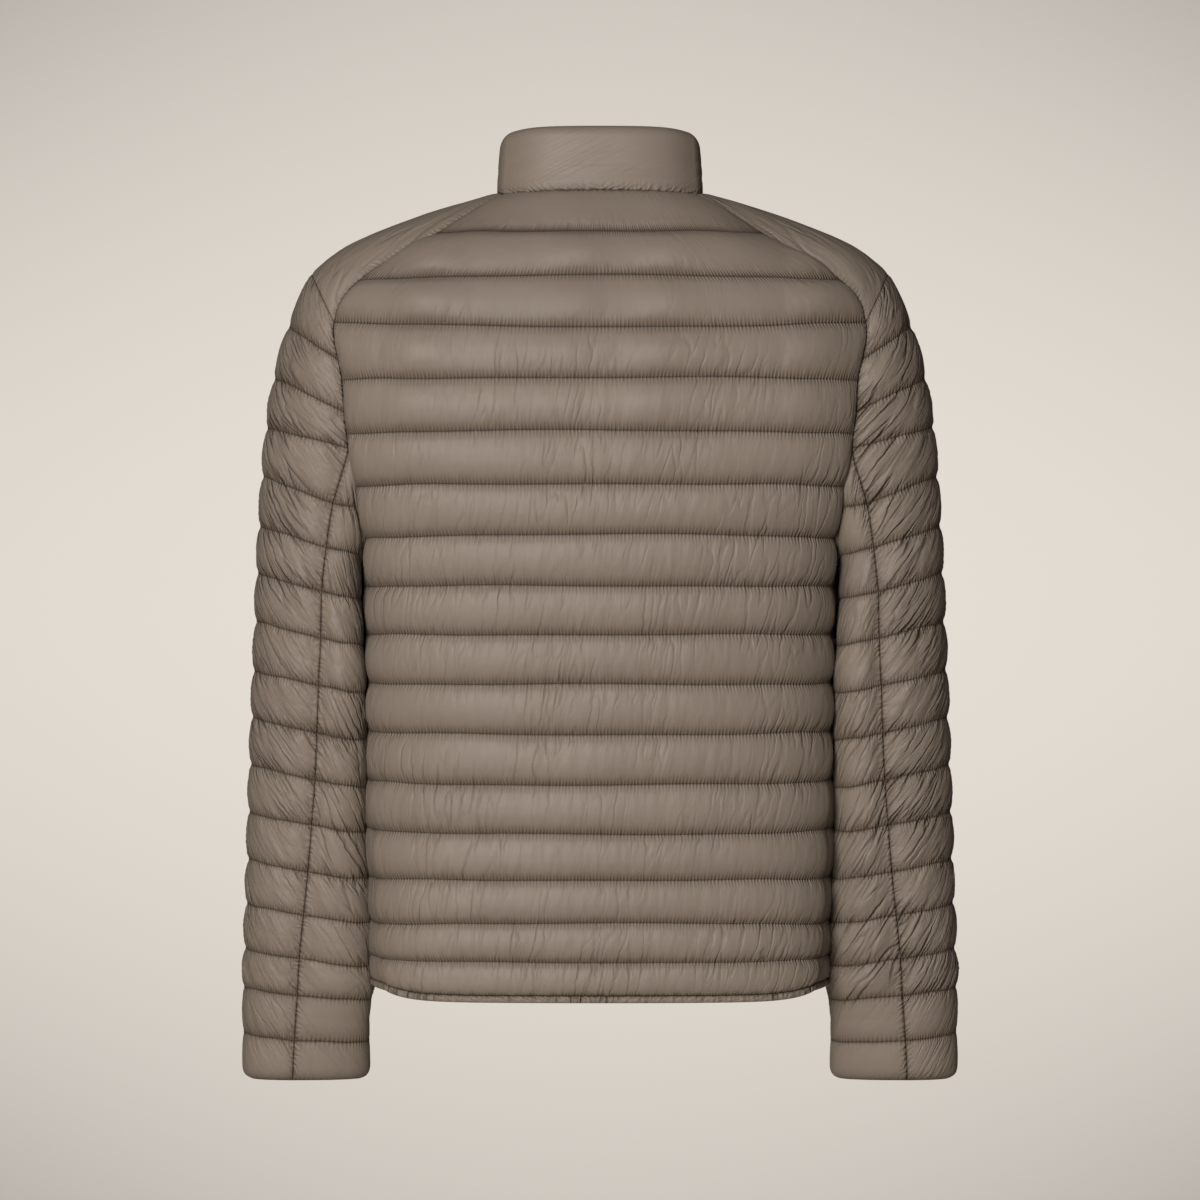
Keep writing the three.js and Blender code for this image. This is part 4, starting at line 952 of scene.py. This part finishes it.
def shell_material():
    """Satin nylon: weave, streaky wrinkles, and puckers along the quilt lines, with painted shade along the
    quilt lines, at the seams, in the creases and low in each channel.
    """
    material, tree, shader = new_material("shell_nylon", ROUGHNESS)
    for key, value in SHELL_FINISH.items():
        shader.inputs[key].default_value = value
    add, minus, times, power, most, least = arithmetic(
        tree, "ADD", "SUBTRACT", "MULTIPLY", "POWER", "MAXIMUM", "MINIMUM")
    fraction, size, to_and_fro, sine = arithmetic(tree, "FRACT", "ABSOLUTE", "PINGPONG", "SINE")

    def from_map(name):
        values = node(tree, "UVMap", uv_map=name).outputs["UV"]
        return node(tree, "SeparateXYZ", {0: values}).outputs[:2]

    def streaks(kind, lean):
        """Noise drawn out along the wrinkles."""
        across, stretch, detail, pattern = STREAKS[kind]
        place_in = node(tree, "CombineXYZ", {0: lean, 1: times(down, stretch), 2: pattern})
        return noise(tree, place_in.outputs[0], across, detail, Roughness=0.5, Distortion=0.12)

    spot = node(tree, "TexCoord").outputs["Object"]
    sideways, _, height = node(tree, "SeparateXYZ", {0: spot}).outputs[:]
    along, row = from_map("cloth")
    strength, slant = from_map("wrinkle")
    to_seam = from_map("seam")[0]
    down = times(height, -1.0)
    lean = add(along, times(slant, down))
    # Closeness to a quilt line, from 0 in mid channel to 1 on the line
    close = minus(1.0, times(to_and_fro(row, 0.5), 2.0))
    near, beside, line_groove_shade = (power(close, sharpness) for sharpness in LINE_POWERS)
    # Closeness to the seam at the side of a piece, where puckers run across the seam
    at_seam = most(minus(1.0, times(to_seam, 1 / SEAM_REACH)), 0.0)
    beside_seam, seam_groove_shade = (power(at_seam, sharpness) for sharpness in SEAM_POWERS)
    # Wrinkles: broad soft streaks, thin sharp creases, and short puckers at the lines
    broad, medium, crease = (streaks(kind, lean) for kind in ("broad", "medium", "crease"))
    short = streaks("short", along)
    lines = most(minus(1.0, times(size(minus(crease, 0.5)), CREASE_SHARPNESS)), 0.0)
    patches = most(times(minus(noise(tree, spot, *PATCHES), PATCH_START), PATCH_GAIN), 0.0)
    drift = noise(tree, spot, *DRIFT)
    pucker = sine(add(times(along, 2 * math.pi / PUCKER_PITCH), times(drift, PUCKER_DRIFT)))
    seam_run = add(down, times(size(sideways), SEAM_SLANT))
    seam_pucker = sine(add(times(seam_run, 2 * math.pi / SEAM_PITCH), times(drift, SEAM_DRIFT)))
    lively = times(strength, add(MIDDLE_SHARE, times(close, 1 - MIDDLE_SHARE)))
    creased = times(times(lines, least(patches, 1.0)), lively)
    weave = [node(tree, "TexWave", {"Vector": spot, "Scale": WEAVE_SCALE},
                  bands_direction=way).outputs["Fac"] for way in ("Z", "X")]
    relief = times(lively, add(times(broad, BROAD_DEPTH), times(medium, MEDIUM_DEPTH)))
    relief = minus(relief, times(creased, CREASE_DEPTH))
    relief = add(relief, times(times(times(short, near), strength), SHORT_DEPTH))
    relief = add(relief, times(times(pucker, beside), PUCKER_DEPTH))
    relief = add(relief, times(times(seam_pucker, beside_seam), SEAM_DEPTH))
    relief = add(relief, times(add(*weave), WEAVE_DEPTH))
    set_relief(tree, shader, relief, 1.0, 1.0)
    # Colour: faint clouds, painted shade on the lower part of each channel, beside the quilt lines and seams
    # and in the creases, and a dark line of painted shade in the groove of each quilt line and seam
    # painted shade on the lower part of each channel, which faces down
    shade = times(power(fraction(row), LOW_POWER), LOW_SHADE)
    # painted shade beside the quilt lines, darker and lighter with the puckers
    shade = add(shade, times(beside, add(PUCKER_SHADES[0], times(pucker, PUCKER_SHADES[1]))))
    # painted shade in the creases
    shade = add(shade, times(creased, CREASE_SHADE))
    # painted shade beside the seams, darker and lighter with the seam's puckers
    shade = add(shade, times(beside_seam, add(SEAM_SHADES[0], times(seam_pucker, SEAM_SHADES[1]))))
    tone = blend(tree, noise(tree, spot, *CLOUDS), SHELL_DARK, SHELL_LIGHT)
    tone = blend(tree, least(shade, 1.0), tone, SHELL_SHADE)
    # a dark line of painted shade in the groove of each quilt line and seam
    tone = blend(tree, most(line_groove_shade, seam_groove_shade), tone, SHELL_GROOVE_SHADE)
    tree.links.new(tone, shader.inputs["Base Color"])
    tree.links.new(add(ROUGHNESS, times(medium, ROUGHNESS_SPAN)), shader.inputs["Roughness"])
    return material


GRAIN_DETAIL, GRAIN_STRENGTH, GRAIN_DEPTH = 4.0, 0.5, 0.0002
GRAIN_GLOSS = 0.16  # span of the roughness


def noisy_material(name, dark, light, scale, roughness, metallic=0.0):
    """A finish with fine grain in its colour, gloss and relief."""
    material, tree, shader = new_material(name, roughness, metallic)
    add, times = arithmetic(tree, "ADD", "MULTIPLY")
    spot = node(tree, "TexCoord").outputs["Object"]
    grain = noise(tree, spot, scale, GRAIN_DETAIL)
    tree.links.new(blend(tree, grain, dark, light), shader.inputs["Base Color"])
    rough = add(roughness - GRAIN_GLOSS / 2, times(grain, GRAIN_GLOSS))
    tree.links.new(rough, shader.inputs["Roughness"])
    set_relief(tree, shader, grain, GRAIN_STRENGTH, GRAIN_DEPTH)
    return material


shell_nylon = shell_material()
thread = noisy_material("thread", (0.045, 0.034, 0.027, 1), (0.075, 0.058, 0.046, 1), 900.0, 0.7)
tape_weave = noisy_material("zip_tape_weave", (0.13, 0.106, 0.088, 1), (0.18, 0.148, 0.122, 1), 1100.0, 0.75)
coil_nylon = noisy_material("zip_coil_nylon", (0.10, 0.082, 0.068, 1), (0.14, 0.114, 0.094, 1), 500.0, 0.38)
dark_metal = noisy_material("zip_metal", (0.20, 0.175, 0.15, 1), (0.27, 0.24, 0.21, 1), 260.0, 0.32, 1.0)

BODY_NAME = "jacket"


def dress(obj, slot, *nodes):
    """Says which body a piece rides and which nodes it replaces; its slot is not used."""
    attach(obj, BODY_NAME)
    if nodes:
        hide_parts(*nodes)


for seed, part in enumerate(pieces.values()):
    cloth = wall_mesh(part, pad(part, seed), shell_nylon)
    cloth.name = f"{part['name']}_cloth"
    dress(cloth, "shell_fabric", part["name"])


def stitch_line(line, out):
    """Small four-sided dashes of thread along a line of points, standing a little out of the cloth."""
    length = run_of(line)
    starts = np.arange(STITCH_PITCH, length[-1] - 2 * STITCH_PITCH, STITCH_PITCH)
    first, last = on_line(line, length, starts), on_line(line, length, starts + STITCH_LENGTH)
    lift = unit(on_line(out, length, starts))
    wide = unit(np.cross(last - first, lift)) * STITCH_HALF
    corners = []
    for end in (first, last):
        for side_of, up in ((1, 0), (-1, 0), (-1, STITCH_RISE), (1, STITCH_RISE)):
            corners.append(end + side_of * wide + lift * up)
    points = np.stack(corners, 1).reshape(-1, 3)
    block = np.array([(0, 1, 5, 4), (1, 2, 6, 5), (2, 3, 7, 6), (3, 0, 4, 7), (3, 2, 1, 0), (4, 5, 6, 7)])
    faces = (block[None] + 8 * np.arange(len(starts))[:, None, None]).reshape(-1, 4)
    return points, faces


def sew(name, names):
    """The stitches of all the quilt lines of some pieces, as one object."""
    points, faces, count = [], [], 0
    for part in (pieces[key] for key in names):
        if not part["quilted"]:
            continue
        normals = refine(part["normals"])
        for index in np.flatnonzero(np.isclose(part["rows"] % 1, 0))[1:-1]:
            new_points, new_faces = stitch_line(part["fine"][2 * index], normals[2 * index])
            points.append(new_points)
            faces.append(new_faces + count)
            count += len(new_points)
    sewing = new_mesh(name, np.vstack(points), np.vstack(faces).tolist(), thread)
    dress(sewing, "shell_fabric")


sew("stitching_body", ["back", "front_left", "front_right", "side_left", "side_right"])
for side in ("left", "right"):
    sew(f"stitching_sleeve_{side}", [f"sleeve_outer_{side}", f"sleeve_under_{side}"])


def coil():
    """Short bars that lean alternately, over the zip's solid core."""
    front = pieces["front_left"]["base"][::-1, 0]
    collar = pieces["collar"]["base"][1:(COLLAR_STEPS + 1) // 2, 0]
    line = np.vstack([front, collar]) * (0, 1, 1)
    length = run_of(line)
    centre = on_line(line, length, np.arange(COIL_START, length[-1] - COIL_END, TOOTH_PITCH))
    points, faces = [], []
    angle = np.arange(TOOTH_SIDES) * 2 * np.pi / TOOTH_SIDES
    for index, middle in enumerate(centre):
        lean = TOOTH_LEAN * (1 if index % 2 else -1)
        for step in (-1, 0, 1):
            out = COIL_RISE + TOOTH_BOW * (step == 0) + TOOTH_RADIUS * np.sin(angle)
            up = lean * step + TOOTH_RADIUS * np.cos(angle)
            points.append(place(step * COIL_HALF, middle[1] - out, middle[2] + up))
        start = index * 3 * TOOTH_SIDES
        for step in range(2):
            for k in range(TOOTH_SIDES):
                a, b = (start + step * TOOTH_SIDES + corner for corner in (k, (k + 1) % TOOTH_SIDES))
                faces.append((a, b, b + TOOTH_SIDES, a + TOOTH_SIDES))
        faces.append(tuple(range(start + TOOTH_SIDES - 1, start - 1, -1)))
        faces.append(tuple(range(start + 2 * TOOTH_SIDES, start + 3 * TOOTH_SIDES)))
    made = new_mesh("zip_coil", np.vstack(points), faces, coil_nylon)
    dress(made, "zip_tape")


coil()
for name, material in {"zip_tape": tape_weave, "zip_slider": dark_metal, "pull_tab": dark_metal}.items():
    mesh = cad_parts[name].data
    mesh.materials.clear()
    mesh.materials.append(material)


# Camera at the photograph's angle: level, square to the back
CAMERA_DISTANCE = 4.0
CAMERA_HEIGHT = -0.345
FRAME_WIDTH = 1.008  # what the frame spans at FRAME_DEPTH
FRAME_DEPTH = 0.060
SENSOR = 36.0
camera = add_object("camera", bpy.data.cameras.new("camera"))
camera.data.sensor_width = SENSOR
camera.data.lens = SENSOR * (CAMERA_DISTANCE - FRAME_DEPTH) / FRAME_WIDTH
camera.data.clip_end = 100
camera.location = (0, CAMERA_DISTANCE, CAMERA_HEIGHT)
camera.rotation_euler = (math.radians(90), 0, math.radians(180))
bpy.context.scene.camera = camera


def area_light(name, where, aim, size, power, color=(1, 1, 1)):
    data = bpy.data.lights.new(name, "AREA")
    data.shape = "DISK"
    data.size, data.energy, data.color = size, power, color
    light = add_object(name, data)
    light.location = where
    direction = np.array(aim) - np.array(where)
    yaw = math.atan2(direction[0], -direction[1])
    pitch = math.atan2(math.hypot(direction[0], direction[1]), -direction[2])
    light.rotation_euler = (pitch, 0, math.pi + yaw)


# Each light: place, size in metres, watts and colour. Both look at the jacket's middle.
JACKET_MIDDLE = (0, 0, -0.35)
area_light("key", (1.0, 3.66, 0.4), JACKET_MIDDLE, 1.3, 136, (1.0, 0.97, 0.93))
area_light("front", (0.3, -3.6, -0.2), JACKET_MIDDLE, 1.2, 34, (1.0, 0.98, 0.95))

BACKDROP_REACH = 0.128  # half the frame, as the sine of its angle
BACKDROP_SHADE = (0.22, 0.05, 0.12, 0.5)  # painted shade of the backdrop: upwards, sideways, at corners, limit
PAPER, BLACK = (0.785, 0.732, 0.665, 1), (0.0, 0.0, 0.0, 1)
AMBIENT, AMBIENT_COLOUR = 0.06, (1.0, 0.88, 0.74, 1)


def studio_world():
    """Even soft light, and a warm paper backdrop with painted shade that darkens it away from its middle."""
    world = bpy.data.worlds.new("studio")
    bpy.context.scene.world = world
    world.use_nodes = True
    tree = world.node_tree
    tree.nodes.clear()
    add, times, least = arithmetic(tree, "ADD", "MULTIPLY", "MINIMUM")
    direction = node(tree, "TexCoord").outputs["Generated"]
    split = node(tree, "SeparateXYZ", {0: direction})
    # painted shade: the paper darkens towards black away from the frame's middle
    shares = [times(split.outputs[axis], 1 / BACKDROP_REACH) for axis in (0, 2)]
    across, up = (times(share, share) for share in shares)
    fall = add(times(up, BACKDROP_SHADE[0]), times(across, BACKDROP_SHADE[1]))
    fall = add(fall, times(times(up, across), BACKDROP_SHADE[2]))
    backdrop = blend(tree, least(fall, BACKDROP_SHADE[3]), PAPER, BLACK)
    seen = node(tree, "Background", {"Color": backdrop, "Strength": 1.0})
    ambient = node(tree, "Background", {"Color": AMBIENT_COLOUR, "Strength": AMBIENT})
    ray = node(tree, "LightPath").outputs["Is Camera Ray"]
    both = node(tree, "MixShader", {0: ray, 1: ambient.outputs[0], 2: seen.outputs[0]})
    output = node(tree, "OutputWorld")
    tree.links.new(both.outputs[0], output.inputs["Surface"])


studio_world()
bpy.context.scene.view_settings.view_transform = "Standard"

# A pale floor well below the jacket, which its wearer holds up
FLOOR_Z, FLOOR_RADIUS, FLOOR_SIDES = -1.35, 2.6, 96
floor_paper = noisy_material("floor_paper", (0.60, 0.56, 0.50, 1), (0.64, 0.60, 0.54, 1), 40.0, 0.85)
bpy.ops.mesh.primitive_circle_add(vertices=FLOOR_SIDES, radius=FLOOR_RADIUS, fill_type="NGON",
                                  location=(0, 0, FLOOR_Z))
floor = bpy.context.object
floor.name = "floor"
floor.data.materials.append(floor_paper)
